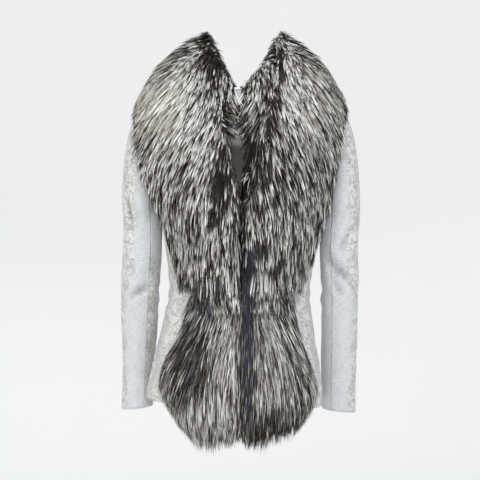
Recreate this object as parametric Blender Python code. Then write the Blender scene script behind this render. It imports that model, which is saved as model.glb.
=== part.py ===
"""A fitted jacket with a fur shawl collar and fur fronts, hollow as it is worn.

Metres, +Z up. The front faces -Y and +X is on the right of someone who looks at the front;
"left" and "right" below are that onlooker's. The origin lies between the wearer's shoulders,
level with the sides of the neck. Tables and sizes are in millimetres, as a cutter's are.
"""

import math
from collections import namedtuple

import bmesh
import bpy
from mathutils import Vector
from mathutils.bvhtree import BVHTree

MM = 0.001
LEFT, RIGHT = -1, 1

# Cloth and seams
CLOTH = 2.0  # thickness of the wool jacquard
SEAM = 0.4  # space between two cloth edges that are sewn together
FUR_SEAT = 2.5  # space between the cloth and the pelt that lies on it

# The body's lengths, from the level of the sides of the neck
SHOULDER_DROP = 50.0
ARMPIT_DROP = 205.0
FRONTS_MEET_DROP = 245.0  # where the V neck ends
BACK_NECK_DROP = 18.0
HEM_DROP = 649.0
HEM_SLANT = 0.045  # the hem hangs a little lower on the right
NECK_HALF = 64.0

# The bust, as two soft mounds on each front
BUST_LIFT = 14.0
BUST_OUT = 78.0
BUST_DROP = 262.0
BUST_WIDE = 45.0
BUST_TALL = 65.0
SQUARENESS = 0.12  # how much fuller than an ellipse the body's sections are

# The armholes
ARMHOLE_FRONT = math.radians(30)  # how far each one runs to the front of the side line
ARMHOLE_BACK = math.radians(27)
ARMHOLE_STEPS = 12  # mesh rows from the shoulder point down to the armpit
EDGE_TURN = 0.35  # how far the two edges at the armhole seam lean apart inside

# Mesh divisions
SIDE_ROWS = 13  # from the hem up to the armpit
FRONT_COLUMNS = 9
BACK_COLUMNS = 18
BACK_NECK_SHARE = 1 / 3  # of the back's columns
SHOULDER_PULL = 4  # how late the rows of a panel turn into the slope of the shoulder
SLEEVE_SEAM = math.radians(120)  # the top sleeve's half width round the arm
BODY_ROWS = SIDE_ROWS + ARMHOLE_STEPS
NECK_CURVE = 1.5  # how much the front neck edges curve
BACK_NECK_CURVE = 0.5
HALVINGS = 40  # of the search for the angle of a point on the front
MERGE = 1e-6
SHARP = math.radians(50)  # least angle of an edge that is shaded sharp

# The body's sections: drop below the neck's side, middle's shift to the right, half width,
# depth in front and behind, and how far the side line lies behind the middle.
Ring = namedtuple("Ring", "drop shift half front back side_line")
SHOULDERS = [
    Ring(0, 0, 64, 34, 44, 8),
    Ring(25, 0, 126, 52, 60, 5),
    Ring(50, 0, 186, 66, 74, 2),
]
TORSO = [
    Ring(50, 0, 186, 66, 74, 2),
    Ring(90, 0, 176, 79, 90, 1),
    Ring(130, 0, 168, 89, 101, 0),
    Ring(170, 0, 163, 97, 107, 0),
    Ring(205, 0, 160, 103, 108, 0),
    Ring(262, 0, 158, 104, 105, 0),
    Ring(330, 0, 153, 101, 95, 0),
    Ring(380, -1, 145, 95, 87, 0),
    Ring(428, -3, 140, 92, 84, -3),
    Ring(466, -4, 143, 94, 88, -7),
    Ring(508, -7, 151, 99, 96, -11),
    Ring(566, -9, 162, 108, 107, -16),
    Ring(602, -11, 169, 113, 113, -18),
    Ring(649, -14, 174, 118, 119, -20),
    Ring(740, -14, 180, 126, 128, -20),
]

# The sleeves' sections below the armhole. The inner end of each lies by the body and the outer
# end away from it; the sections turn from upright at the shoulder to level at the elbow.
Cuff = namedtuple("Cuff", "in_left in_right in_drop out_left out_right out_drop back deep")
SLEEVE = [
    Cuff(162.8, 162.8, 208.5, 200.0, 200.0, 61, 3, 50.0),
    Cuff(162.8, 162.8, 212.5, 213.5, 213.5, 83, 4, 51.5),
    Cuff(162.5, 162.5, 217.5, 224.5, 224.5, 113, 5, 52.5),
    Cuff(162.0, 162.0, 224.5, 232.0, 232.0, 149, 5, 53.0),
    Cuff(161.4, 161.4, 234.0, 236.5, 236.5, 189, 6, 52.5),
    Cuff(160.5, 160.5, 247.0, 238.5, 238.0, 228, 6, 51.5),
    Cuff(159.5, 159.0, 266.0, 238.5, 238.5, 262, 7, 50.0),
    Cuff(158.0, 157.5, 296.0, 236.0, 239.0, 294, 8, 48.0),
    Cuff(157.5, 156.5, 330.0, 236.5, 236.0, 330, 10, 46.5),
    Cuff(159.5, 157.5, 364.0, 240.0, 236.5, 364, 13, 45.0),
    Cuff(161.5, 160.0, 398.0, 240.5, 237.5, 398, 15, 44.0),
    Cuff(163.0, 161.0, 428.0, 242.0, 237.0, 428, 18, 43.0),
    Cuff(165.0, 161.5, 458.0, 243.0, 236.0, 458, 21, 42.0),
    Cuff(168.0, 162.0, 508.0, 241.5, 236.0, 508, 26, 41.0),
    Cuff(173.5, 161.5, 566.0, 240.0, 234.5, 566, 33, 39.5),
    Cuff(176.0, 161.5, 605.0, 240.5, 233.5, 607, 37, 38.5),
    Cuff(177.0, 162.5, 640.0, 241.5, 233.0, 645, 40, 38.0),
    Cuff(178.5, 164.0, 665.0, 243.0, 233.0, 672, 41, 38.5),
]
CUFF_LOWER = {LEFT: 0.0, RIGHT: 6.0}  # the right sleeve hangs a little lower

# The fur collar's sections, from its tip at the waist up one front, past the side of the neck
# and round to the middle of the back. Each has the drop of its root on the neck edge, its crest,
# the lip that leans in over the neck, its outer edge, and the pile's height half way out.
Collar = namedtuple(
    "Collar",
    "root_drop crest_left crest_right crest_front crest_drop lip_left lip_right"
    " edge_left edge_right edge_front edge_drop loft",
)
COLLAR = [
    Collar(432, 22, 22, 138, 432, 0.5, 0.5, 117, 117, 72, 435, 36),
    Collar(378, 20, 20, 146, 376, 0.5, 0.5, 126, 134, 62, 402, 39),
    Collar(312, 16, 20, 160, 308, 0.5, 0.5, 133, 150, 54, 352, 42),
    Collar(248, 10, 20, 166, 240, 0.5, 0.5, 156, 163, 56, 308, 45),
    Collar(190, 20, 37, 158, 178, 20, 4, 172, 174, 60, 270, 48),
    Collar(140, 33, 50, 136, 112, 20, 4, 194, 186, 64, 222, 50),
    Collar(98, 43, 61, 104, 58, 6, 3, 207, 195, 66, 184, 52),
    Collar(56, 47, 66, 70, 9, 6, 3, 214, 201, 62, 148, 55),
    Collar(24, 55, 71, 38, -38, 30, 38, 216, 206, 42, 106, 58),
    Collar(0, 68, 79, 2, -84, 46, 55, 214, 212, 2, 70, 62),
    Collar(4, 62, 70, -46, -58, 36, 44, 203, 203, -50, 112, 58),
    Collar(12, 36, 42, -80, -4, 17, 21, 146, 146, -98, 168, 50),
    Collar(18, 0.5, 0.5, -94, 30, 0.5, 0.5, 0.5, 0.5, -116, 205, 44),
]
Station = namedtuple("Station", ("place", *Collar._fields))
STATIONS = [Station(i, *row) for i, row in enumerate(COLLAR)]
SIDE_OF_NECK = next(i for i, row in enumerate(COLLAR) if row.root_drop == 0)
COLLAR_EDGE = 9.0  # height of the pile at the collar's outer edge
COLLAR_STEPS = 4  # mesh sections from one row of the table to the next
LIP_STEPS = 6
SLOPE_STEPS = 12
UNDER_STEPS = 10
EASE_ROUNDS = 6
EASE_HEIGHT = 2.0  # least height of the middle of a face on the underside
CORE_DROP = 160.0  # the fur is laid on the cloth away from the body's core, below this level
CORE_BACK = 10.0
CORE_SHARE = 0.6  # of a point's distance from the middle, where its core point is
CAST = 1.0  # length in metres of the line along which the cloth is looked for

# The fur fronts below the collar's tips: their outer sides by drop, and their lower ends
# from the middle out to the corner.
Side = namedtuple("Side", "drop left right")
FUR_SIDES = [
    Side(437.5, 88, 94),
    Side(466, 101, 98),
    Side(501, 110, 103),
    Side(530, 122, 113),
    Side(566, 142, 124),
    Side(590, 149, 134),
    Side(613, 148, 138),
    Side(641, 138, 132),
]
End = namedtuple("End", "share left left_drop right right_drop")
FUR_ENDS = [
    End(0.00, 0.5, 707, 0.5, 709),
    End(0.15, 22, 715, 18, 720),
    End(0.32, 50, 724, 38, 723),
    End(0.50, 75, 724, 62, 713),
    End(0.68, 98, 700, 88, 708),
    End(0.84, 119, 669, 112, 676),
    End(1.00, 138, 641, 132, 641),
]
FUR_FRONT_PILE = 43.0
FUR_FRONT_EDGE = 9.0
FUR_FRONT_SEAT = 1.1  # space between the cloth and the fur front that lies on it
FUR_FRONT_MIDDLE = 0.85  # the pile's share that is left where the two fronts meet
FUR_FRONT_RISE = 0.3  # share of the width in which the pile gets its full height
FUR_SIDE_ROUNDING = 4
FUR_END_ROUNDING = 6
FUR_FRONT_COLUMNS = 10
FUR_FRONT_ROWS = 12

MATERIALS = {
    "white_jacquard": ((0.70, 0.73, 0.78), 0.75),
    "silver_fox_fur": ((0.16, 0.15, 0.14), 0.85),
}


def between(rows, key, at):
    """A row of smooth values at one place in a table, on a curve through all its rows."""
    keys = [getattr(row, key) for row in rows]
    at = min(max(at, min(keys[0], keys[-1])), max(keys[0], keys[-1]))
    upper = next((i for i in range(1, len(keys) - 1) if keys[i] >= at), len(keys) - 1)
    lower = upper - 1
    span = keys[upper] - keys[lower]
    share = (at - keys[lower]) / span
    values = []
    for column in range(len(rows[0])):
        a, b = rows[lower][column], rows[upper][column]
        slopes = []
        for i in (lower, upper):
            low, high = max(i - 1, 0), min(i + 1, len(rows) - 1)
            slopes.append((rows[high][column] - rows[low][column]) / (keys[high] - keys[low]) * span)
        cubic = share * share * (3 - 2 * share)
        values.append(
            a + (b - a) * cubic
            + slopes[0] * share * (1 - share) ** 2
            - slopes[1] * share * share * (1 - share)
        )
    return type(rows[0])(*values)


def straight(rows, key, at):
    """A row of values at one place in a table, on straight lines from row to row."""
    for low, high in zip(rows, rows[1:]):
        start, end = getattr(low, key), getattr(high, key)
        if at <= end:
            share = max(at - start, 0) / (end - start)
            return type(low)(*(a + (b - a) * share for a, b in zip(low, high)))
    return rows[-1]


def body(angle, drop):
    """A point on the body's outer surface; angle 0 is the right side and a quarter turn the back."""
    ring = straight(SHOULDERS, "drop", drop) if drop < SHOULDER_DROP else between(TORSO, "drop", drop)
    turn, across = math.cos(angle), math.sin(angle)
    depth = ring.back if across > 0 else ring.front
    x = ring.shift + ring.half * turn * (1 + SQUARENESS * across**2)
    y = ring.side_line + depth * across * (1 + SQUARENESS * turn**2)
    if across < 0:
        out = (abs(x) - BUST_OUT) / BUST_WIDE
        down = (drop - BUST_DROP) / BUST_TALL
        y += BUST_LIFT * across * math.exp(-out * out - down * down)
    return Vector((x, y, -drop)) * MM


def body_normal(angle, drop):
    """The outward direction of the body's surface."""
    turn, fall = 0.01, 0.5
    round_the_body = body(angle + turn, drop) - body(angle - turn, drop)
    high = max(drop - fall, 0)
    upwards = body(angle, high) - body(angle, high + 2 * fall)
    return round_the_body.cross(upwards).normalized()


def front_angle(x, drop):
    """The angle at which the body's front has this distance to the right of the middle."""
    low, high = -math.pi, 0.0
    for _ in range(HALVINGS):
        middle = (low + high) / 2
        if body(middle, drop).x < x * MM:
            low = middle
        else:
            high = middle
    return (low + high) / 2


def hem_drop(angle):
    """How far down the cloth's hem is at this angle."""
    return HEM_DROP + HEM_SLANT * body(angle, HEM_DROP).x / MM


def armhole(turn, side, forward):
    """Angle and drop on an armhole's edge; turn 0 is the shoulder point and half a turn the armpit."""
    reach = (ARMHOLE_FRONT if forward else ARMHOLE_BACK) * math.sin(turn)
    drop = SHOULDER_DROP + (ARMPIT_DROP - SHOULDER_DROP) * (1 - math.cos(turn)) / 2
    return side_angle(side, forward, reach), drop


def side_angle(side, forward, reach):
    """The angle at some reach to the front or back of the right or left side line."""
    from_right = -reach if forward else reach
    if side == RIGHT:
        return from_right
    return -math.pi - from_right if forward else math.pi - from_right


def seam_reach(drop):
    """The angle that takes up half a seam's space beside the side line."""
    ring = straight(SHOULDERS, "drop", drop) if drop < SHOULDER_DROP else between(TORSO, "drop", drop)
    return SEAM / 2 / (min(ring.front, ring.back) * (1 + SQUARENESS))


def side_edge(row, side, forward):
    """Angle and drop at a mesh row on a panel's outer edge: the side seam, then the armhole."""
    if row <= SIDE_ROWS:
        low = hem_drop(0 if side == RIGHT else math.pi)
        drop = low + (ARMPIT_DROP - low) * row / SIDE_ROWS
        return side_angle(side, forward, seam_reach(drop)), drop
    turn = math.pi * (SIDE_ROWS + ARMHOLE_STEPS - row) / ARMHOLE_STEPS
    angle, drop = armhole(turn, side, forward)
    return (side_angle(side, forward, seam_reach(drop)), drop) if row == BODY_ROWS else (angle, drop)


def neck_edge(share):
    """Half width and drop on the front neck edge, from the V's point up to the side of the neck."""
    rest = (1 - share) ** NECK_CURVE
    return NECK_HALF + (SEAM - NECK_HALF) * rest, FRONTS_MEET_DROP * rest


def blend_edges(s, top, low, high, start, end, corners):
    """A point of a four-sided patch blended from its four edges; top is the high edge's share."""
    point = []
    for i in range(2):
        across = (1 - top) * low[i] + top * high[i]
        along = (1 - s) * start[i] + s * end[i]
        bilinear = (1 - top) * ((1 - s) * corners[0][i] + s * corners[1][i])
        bilinear += top * ((1 - s) * corners[2][i] + s * corners[3][i])
        point.append(across + along - bilinear)
    return point


def front_place(side):
    """Gives the angle and drop of each mesh point of one front."""

    def middle_edge(row):
        if row <= SIDE_ROWS:
            low = hem_drop(-math.pi / 2)
            drop = low + (FRONTS_MEET_DROP - low) * row / SIDE_ROWS
            return front_angle(side * SEAM, drop), drop
        half, drop = neck_edge((row - SIDE_ROWS) / ARMHOLE_STEPS)
        if row == BODY_ROWS:
            return side_angle(side, True, seam_reach(0)), 0.0
        return front_angle(side * half, drop), drop

    corners = [middle_edge(0), side_edge(0, side, True)]
    corners += [middle_edge(BODY_ROWS), side_edge(BODY_ROWS, side, True)]

    def place(column, row):
        s, t = column / FRONT_COLUMNS, row / BODY_ROWS
        angle = corners[0][0] + (corners[1][0] - corners[0][0]) * s
        shoulder = SHOULDER_DROP * s
        high = side_angle(side, True, seam_reach(shoulder)), shoulder
        low = angle, hem_drop(angle)
        ends = middle_edge(row), side_edge(row, side, True)
        return blend_edges(s, t**SHOULDER_PULL, low, high, *ends, corners)

    return place


def back_place(column, row):
    """The angle and drop of each mesh point of the back, from the right side to the left."""
    s, t = column / BACK_COLUMNS, row / BODY_ROWS
    corners = [side_edge(r, side, False) for r in (0, BODY_ROWS) for side in (RIGHT, LEFT)]
    angle = corners[0][0] + (corners[1][0] - corners[0][0]) * s
    out = abs(2 * s - 1)
    if out > BACK_NECK_SHARE:  # on a shoulder seam
        drop = SHOULDER_DROP * (out - BACK_NECK_SHARE) / (1 - BACK_NECK_SHARE)
        high = side_angle(RIGHT if s < 0.5 else LEFT, False, seam_reach(drop)), drop
    else:
        turn = math.pi / 2 * (1 + (2 * s - 1) / BACK_NECK_SHARE)
        turn = min(max(turn, seam_reach(0)), math.pi - seam_reach(0))
        high = turn, BACK_NECK_DROP * math.sin(turn) ** BACK_NECK_CURVE
    low = angle, hem_drop(angle)
    start, end = side_edge(row, RIGHT, False), side_edge(row, LEFT, False)
    return blend_edges(s, t**SHOULDER_PULL, low, high, start, end, corners)


def material(name):
    found = bpy.data.materials.get(name)
    if found:
        return found
    colour, roughness = MATERIALS[name]
    new = bpy.data.materials.new(name)
    new.use_nodes = True
    shader = new.node_tree.nodes["Principled BSDF"]
    shader.inputs["Base Color"].default_value = (*colour, 1)
    shader.inputs["Roughness"].default_value = roughness
    shader.inputs["Metallic"].default_value = 0.0
    return new


def finish(bm, name, material_name, collection):
    """Turns a closed bmesh into a named object."""
    bmesh.ops.recalc_face_normals(bm, faces=bm.faces)
    if bm.calc_volume(signed=True) < 0:
        bmesh.ops.reverse_faces(bm, faces=bm.faces)
    mesh = bpy.data.meshes.new(name)
    bm.to_mesh(mesh)
    bm.free()
    mesh.materials.append(material(material_name))
    mesh.shade_smooth()
    mesh.set_sharp_from_angle(angle=SHARP)
    piece = bpy.data.objects.new(name, mesh)
    collection.objects.link(piece)
    return piece


def grid(columns, rows):
    """A flat grid whose points know their column and row."""
    bm = bmesh.new()
    bmesh.ops.create_grid(bm, x_segments=columns, y_segments=rows, size=0.5)
    column = bm.verts.layers.int.new("column")
    row = bm.verts.layers.int.new("row")
    for point in bm.verts:
        point[column] = round((point.co.x + 0.5) * columns)
        point[row] = round((point.co.y + 0.5) * rows)
    return bm, column, row


def wall(name, material_name, columns, rows, outside, inside, collection):
    """A closed wall between the points outside(column, row) and inside(column, row)."""
    bm, column, row = grid(columns, rows)
    extruded = bmesh.ops.extrude_face_region(bm, geom=bm.faces[:])["geom"]
    inner = {point for point in extruded if isinstance(point, bmesh.types.BMVert)}
    for point in bm.verts:
        place = inside if point in inner else outside
        point.co = place(point[column], point[row])
    return finish(bm, name, material_name, collection)


def armhole_side(edge, side, forward):
    """The edge's inward direction inside the wall: round the armhole, leaning off the seam."""
    top = body(side_angle(side, forward, 0), SHOULDER_DROP)
    bottom = body(side_angle(side, forward, 0), ARMPIT_DROP)
    out = edge - (top + bottom) / 2
    return Vector((0, out.y, out.z)).normalized()


def body_panel(name, columns, place, sides, forward, collection):
    """A front or the back. sides gives the side of each outer column that meets an armhole."""

    def outside(column, row):
        return body(*place(column, row))

    def inside(column, row):
        angle, drop = place(column, row)
        edge = body(angle, drop)
        if column in sides and row >= SIDE_ROWS:
            away = armhole_side(edge, sides[column], forward)
            away += Vector((EDGE_TURN * sides[column], 0, 0))
            return edge - away.normalized() * CLOTH * MM
        return edge - body_normal(angle, drop) * CLOTH * MM

    return wall(name, "white_jacquard", columns, BODY_ROWS, outside, inside, collection)


def sleeve_point(row, turn, side):
    """A point on a sleeve: turn 0 is its outer line and a quarter turn its front."""
    turn = math.remainder(turn, 2 * math.pi)
    if row <= 0:
        point = body(*armhole(abs(turn), side, turn >= 0))
        return point + Vector((side * SEAM * MM, 0, 0))
    cuff = SLEEVE[min(row, len(SLEEVE)) - 1]
    near = cuff.in_left if side == LEFT else cuff.in_right
    far = cuff.out_left if side == LEFT else cuff.out_right
    lower = CUFF_LOWER[side] if row == len(SLEEVE) else 0.0
    middle = Vector((side * (near + far) / 2, cuff.back, -(cuff.in_drop + cuff.out_drop) / 2 - lower))
    reach = Vector((side * (far - near) / 2, 0, (cuff.in_drop - cuff.out_drop) / 2))
    return (middle + reach * math.cos(turn) - Vector((0, cuff.deep * math.sin(turn), 0))) * MM


def sleeve_inside(row, turn, side):
    """The point of the sleeve's inner face below sleeve_point."""
    point = sleeve_point(row, turn, side)
    if row == 0:
        away = armhole_side(point, side, True)
        away -= Vector((EDGE_TURN * side, 0, 0))
        return point - away.normalized() * CLOTH * MM
    step = 0.02
    round_the_arm = sleeve_point(row, turn + step, side) - sleeve_point(row, turn - step, side)
    along = sleeve_point(min(row + 1, len(SLEEVE)), turn, side) - sleeve_point(row - 1, turn, side)
    out = round_the_arm.cross(along).normalized()
    centre = (sleeve_point(row, 0, side) + sleeve_point(row, math.pi, side)) / 2
    if out.dot(point - centre) < 0:
        out = -out
    return point - out * CLOTH * MM


def sleeve_panel(name, columns, start, end, side, collection):
    """The stretch of a sleeve from one of its seams to the other, from the armhole to the cuff."""

    def turn(column):
        return start + (end - start) * column / columns

    return wall(
        name,
        "white_jacquard",
        columns,
        len(SLEEVE),
        lambda column, row: sleeve_point(row, turn(column), side),
        lambda column, row: sleeve_inside(row, turn(column), side),
        collection,
    )


def sleeve(word, side, collection):
    """A two-piece sleeve: the top sleeve and, by the body, the narrower under sleeve."""
    gap = SEAM / 2 / SLEEVE[-1].deep
    step = math.pi / ARMHOLE_STEPS
    wide, slim = round(2 * SLEEVE_SEAM / step), round(2 * (math.pi - SLEEVE_SEAM) / step)
    top = -SLEEVE_SEAM + gap, SLEEVE_SEAM - gap
    under = SLEEVE_SEAM + gap, 2 * math.pi - SLEEVE_SEAM - gap
    return [
        sleeve_panel(f"sleeve_top_{word}", wide, *top, side, collection),
        sleeve_panel(f"sleeve_under_{word}", slim, *under, side, collection),
    ]


def tree_of(pieces):
    """A search tree over the faces of the cloth."""
    points, faces = [], []
    for piece in pieces:
        first = len(points)
        points += [vertex.co for vertex in piece.data.vertices]
        faces += [[first + i for i in face.vertices] for face in piece.data.polygons]
    return BVHTree.FromPolygons(points, faces)


def lay_on(cloth, point, height):
    """The point, moved away from the body's core until it is at least this height above the cloth."""
    core = Vector((CORE_SHARE * point.x, CORE_BACK * MM, min(point.z, -CORE_DROP * MM)))
    out = (point - core).normalized()
    hit = cloth.ray_cast(core + CAST * out, -out, CAST)[0]
    if hit is None:
        return point
    reach = max((hit - core).length + height * MM, (point - core).length)
    return core + out * reach


def through(a, b, c, share):
    """A point on the parabola that runs from a through b, half way, to c."""
    return a * (1 - share) * (1 - 2 * share) + b * 4 * share * (1 - share) + c * share * (2 * share - 1)


def collar_row(cloth, at, side):
    """The closed ring of points of the collar's section at one place of its table."""
    row = between(STATIONS, "place", at)
    crest_x = row.crest_left if side == LEFT else row.crest_right
    lip_x = row.lip_left if side == LEFT else row.lip_right
    edge_x = row.edge_left if side == LEFT else row.edge_right
    root = neck_root(row.root_drop, at, side)
    crest = Vector((side * crest_x, -row.crest_front, -row.crest_drop)) * MM
    lip = Vector((side * lip_x * MM, (root.y + crest.y) / 2, (root.z + crest.z) / 2))
    edge = Vector((side * edge_x, -row.edge_front, -row.edge_drop)) * MM
    rim, hem = lay_on(cloth, edge, COLLAR_EDGE), lay_on(cloth, edge, FUR_SEAT)
    slope = lay_on(cloth, (crest + rim) / 2, row.loft)
    ring = [through(root, lip, crest, i / LIP_STEPS) for i in range(LIP_STEPS)]
    ring += [through(crest, slope, rim, i / SLOPE_STEPS) for i in range(SLOPE_STEPS + 1)]
    for i in range(UNDER_STEPS):
        ring.append(lay_on(cloth, hem + (root - hem) * i / UNDER_STEPS, FUR_SEAT))
    return ring


def keep_to_side(sections, side):
    """Keeps a collar half on its own side of the middle, and its end flat against the other half."""
    nearest = SEAM * MM
    for ring in sections:
        for point in ring:
            if ring is sections[-1] or side * point.x < nearest:
                point.x = side * nearest


def ease_off(cloth, sections):
    """Lifts the collar's underside until the faces between its points clear the cloth too."""
    under = list(range(LIP_STEPS + SLOPE_STEPS + 1, len(sections[0]))) + [0]
    for _ in range(EASE_ROUNDS):
        for ring, following in zip(sections, sections[1:]):
            for here, there in zip(under, under[1:]):
                corners = [ring[here], ring[there], following[there], following[here]]
                for group in (corners, corners[:2], corners[1:3], corners[::2], corners[1::2]):
                    middle = sum(group, Vector()) / len(group)
                    lift = lay_on(cloth, middle, EASE_HEIGHT) - middle
                    for point in group:
                        point += lift


def neck_root(drop, at, side):
    """The collar's root, just outside the neck edge of the cloth."""
    if at >= SIDE_OF_NECK:  # round the back of the neck
        share = (at - SIDE_OF_NECK) / (len(COLLAR) - 1 - SIDE_OF_NECK)
        angle = math.pi / 2 * share
        drop = BACK_NECK_DROP * math.sin(angle) ** BACK_NECK_CURVE
        angle = side_angle(side, False, angle)
    elif drop < FRONTS_MEET_DROP:
        rest = max(drop, 0) / FRONTS_MEET_DROP
        angle = front_angle(side * (NECK_HALF + (SEAM - NECK_HALF) * rest), max(drop, 0))
    else:
        angle = front_angle(side * SEAM, drop)
    return body(angle, max(drop, 0)) + body_normal(angle, max(drop, 0)) * FUR_SEAT * MM


def collar(word, side, cloth, collection):
    """One half of the fur shawl collar, as a thick closed form as far out as its hair reaches."""
    rows = (len(COLLAR) - 1) * COLLAR_STEPS
    sections = [collar_row(cloth, i / COLLAR_STEPS, side) for i in range(rows + 1)]
    ease_off(cloth, sections)
    keep_to_side(sections, side)
    columns = len(sections[0])
    bm, column, row = grid(columns, rows)
    for point in bm.verts:
        point.co = sections[point[row]][point[column] % columns]
    bmesh.ops.remove_doubles(bm, verts=bm.verts, dist=MERGE)
    bmesh.ops.holes_fill(bm, edges=[edge for edge in bm.edges if edge.is_boundary], sides=0)
    return finish(bm, f"fur_collar_{word}", "silver_fox_fur", collection)


def fur_front_place(side):
    """Gives distance from the middle and drop for each mesh point of one fur front."""
    top = FUR_SIDES[0].drop

    def side_of(row):
        drop = top + (FUR_SIDES[-1].drop - top) * (1 - row / FUR_FRONT_ROWS)
        found = between(FUR_SIDES, "drop", drop)
        return found.left if side == LEFT else found.right, drop

    def end_of(column):
        found = between(FUR_ENDS, "share", column / FUR_FRONT_COLUMNS)
        return (found.left, found.left_drop) if side == LEFT else (found.right, found.right_drop)

    corners = [end_of(0), end_of(FUR_FRONT_COLUMNS), (SEAM, top), side_of(FUR_FRONT_ROWS)]

    def place(column, row):
        s, t = column / FUR_FRONT_COLUMNS, row / FUR_FRONT_ROWS
        high = SEAM + (corners[3][0] - SEAM) * s, top
        start = SEAM, corners[0][1] + (top - corners[0][1]) * t
        out, drop = blend_edges(s, t, end_of(column), high, start, side_of(row), corners)
        return max(out, SEAM), drop

    return place


def fur_front(word, side, collection):
    """One fur front: it lies on the cloth from the waist down and hangs past the hem."""
    place = fur_front_place(side)

    def base(column, row, height):
        wide, drop = place(column, row)
        angle = front_angle(side * wide, drop)
        out = body_normal(angle, drop)
        out.z = 0
        point = body(angle, drop) + out.normalized() * height * MM
        point.x = side * max(side * point.x, SEAM * MM)
        return point

    def outside(column, row):
        s, t = column / FUR_FRONT_COLUMNS, row / FUR_FRONT_ROWS
        at_side, at_end = s**FUR_SIDE_ROUNDING, (1 - t) ** FUR_END_ROUNDING
        round_out = math.sqrt(max(1 - at_side, 0)) * math.sqrt(max(1 - at_end, 0))
        round_in = FUR_FRONT_MIDDLE + (1 - FUR_FRONT_MIDDLE) * min(s / FUR_FRONT_RISE, 1)
        pile = FUR_FRONT_EDGE + (FUR_FRONT_PILE - FUR_FRONT_EDGE) * round_out * round_in
        return base(column, row, FUR_FRONT_SEAT + pile)

    def inside(column, row):
        return base(column, row, FUR_FRONT_SEAT)

    size = FUR_FRONT_COLUMNS, FUR_FRONT_ROWS
    return wall(f"fur_front_{word}", "silver_fox_fur", *size, outside, inside, collection)


def main():
    for found in list(bpy.data.objects):
        bpy.data.objects.remove(found, do_unlink=True)
    jacket = bpy.data.collections.new("fur_trimmed_jacket")
    bpy.context.scene.collection.children.link(jacket)
    cloth = []
    for word, side in (("left", LEFT), ("right", RIGHT)):
        sides = {FRONT_COLUMNS: side}
        cloth.append(body_panel(f"front_{word}", FRONT_COLUMNS, front_place(side), sides, True, jacket))
        cloth += sleeve(word, side, jacket)
    sides = {0: RIGHT, BACK_COLUMNS: LEFT}
    cloth.append(body_panel("back", BACK_COLUMNS, back_place, sides, False, jacket))
    tree = tree_of(cloth)
    for word, side in (("left", LEFT), ("right", RIGHT)):
        collar(word, side, tree, jacket)
        fur_front(word, side, jacket)


main()
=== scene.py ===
import math
from collections import namedtuple

import bmesh
import bpy
import numpy as np
from bpy.props import FloatProperty, FloatVectorProperty, IntProperty, PointerProperty
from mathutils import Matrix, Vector, noise
from mathutils.bvhtree import BVHTree


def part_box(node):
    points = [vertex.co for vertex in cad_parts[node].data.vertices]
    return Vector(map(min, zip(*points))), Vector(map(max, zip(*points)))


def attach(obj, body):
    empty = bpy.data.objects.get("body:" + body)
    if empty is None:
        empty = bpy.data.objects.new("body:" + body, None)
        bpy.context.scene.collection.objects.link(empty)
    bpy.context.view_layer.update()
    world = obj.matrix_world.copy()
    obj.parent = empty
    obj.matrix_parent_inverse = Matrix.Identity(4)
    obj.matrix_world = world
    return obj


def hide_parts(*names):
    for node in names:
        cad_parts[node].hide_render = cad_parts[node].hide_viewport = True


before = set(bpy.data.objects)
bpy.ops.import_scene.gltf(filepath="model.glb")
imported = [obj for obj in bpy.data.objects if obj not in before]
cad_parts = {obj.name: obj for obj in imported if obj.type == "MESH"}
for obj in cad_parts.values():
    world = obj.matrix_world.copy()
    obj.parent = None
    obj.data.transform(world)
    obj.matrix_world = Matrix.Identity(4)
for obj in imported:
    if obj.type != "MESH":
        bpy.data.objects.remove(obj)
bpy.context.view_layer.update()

bl_info = {
    "name": "Fur-trimmed jacket",
    "version": (1, 0, 0),
    "blender": (4, 5, 0),
    "location": "3D View > Sidebar > Jacket",
    "description": "Builds a fitted brocade jacket with a silver fox shawl collar",
    "category": "Add Mesh",
}

MM = 0.001
SIDES = {"left": -1, "right": 1}

# ---------------------------------------------------------------- sizes of the cloth

SMOOTHING = 2  # subdivision levels of each cloth panel
SHARP = math.radians(50)
MERGE = 1e-5
PAIR_BEND, PAIR_SHAPE = math.radians(40), math.radians(70)  # of two triangles that make a four-sided face
TINY = 1e-9  # least length that a direction is divided by

# The middle line of each tube of cloth, in millimetres: height, shift to the right, shift to the back
Middle = namedtuple("Middle", "z x y")
BODY_MIDDLE = [
    Middle(-720, -14, -20), Middle(-566, -9, -16), Middle(-466, -4, -7), Middle(-380, 0, 0), Middle(90, 0, 0),
]
SLEEVE_MIDDLE = {
    "left": [
        Middle(-680, -210.8, 41), Middle(-566, -206.8, 33), Middle(-458, -204, 21), Middle(-364, -199.8, 13),
        Middle(-296, -197, 8), Middle(-200, -197, 5), Middle(-60, -186, 2),
    ],
    "right": [
        Middle(-680, 198.5, 41), Middle(-566, 198, 33), Middle(-458, 198.8, 21), Middle(-364, 197, 13),
        Middle(-296, 198, 8), Middle(-200, 197, 5), Middle(-60, 186, 2),
    ],
}
BODY_HALF, BODY_DEPTH = 152.0, 100.0  # of the ellipse that the body's cloth is unrolled from
GIRTH_STEPS = 720
SLEEVE_RADIUS = 41.0
BODY_TURN_FROM, SLEEVE_TURN_FROM = math.radians(-90), math.radians(-125)  # where the count of turns starts
BODY_CORE_TOP, SLEEVE_CORE_TOP = -160.0, -120.0  # above it, outwards is also upwards
SHOULDER_SHARE = 0.6  # and the body's middle lies this far out below a point
INWARD = -0.35  # a face that looks this little outwards is lined
NECK_PAINTED_LIGHT_LOW = -92.0  # lower edge of the lining inside the back of the neck that is painted pale, as painted light
SETTLE_DROP, SETTLE_OVER = 195.0, 60.0  # the shoulders above this, under the fur, keep their solid's form

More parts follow.
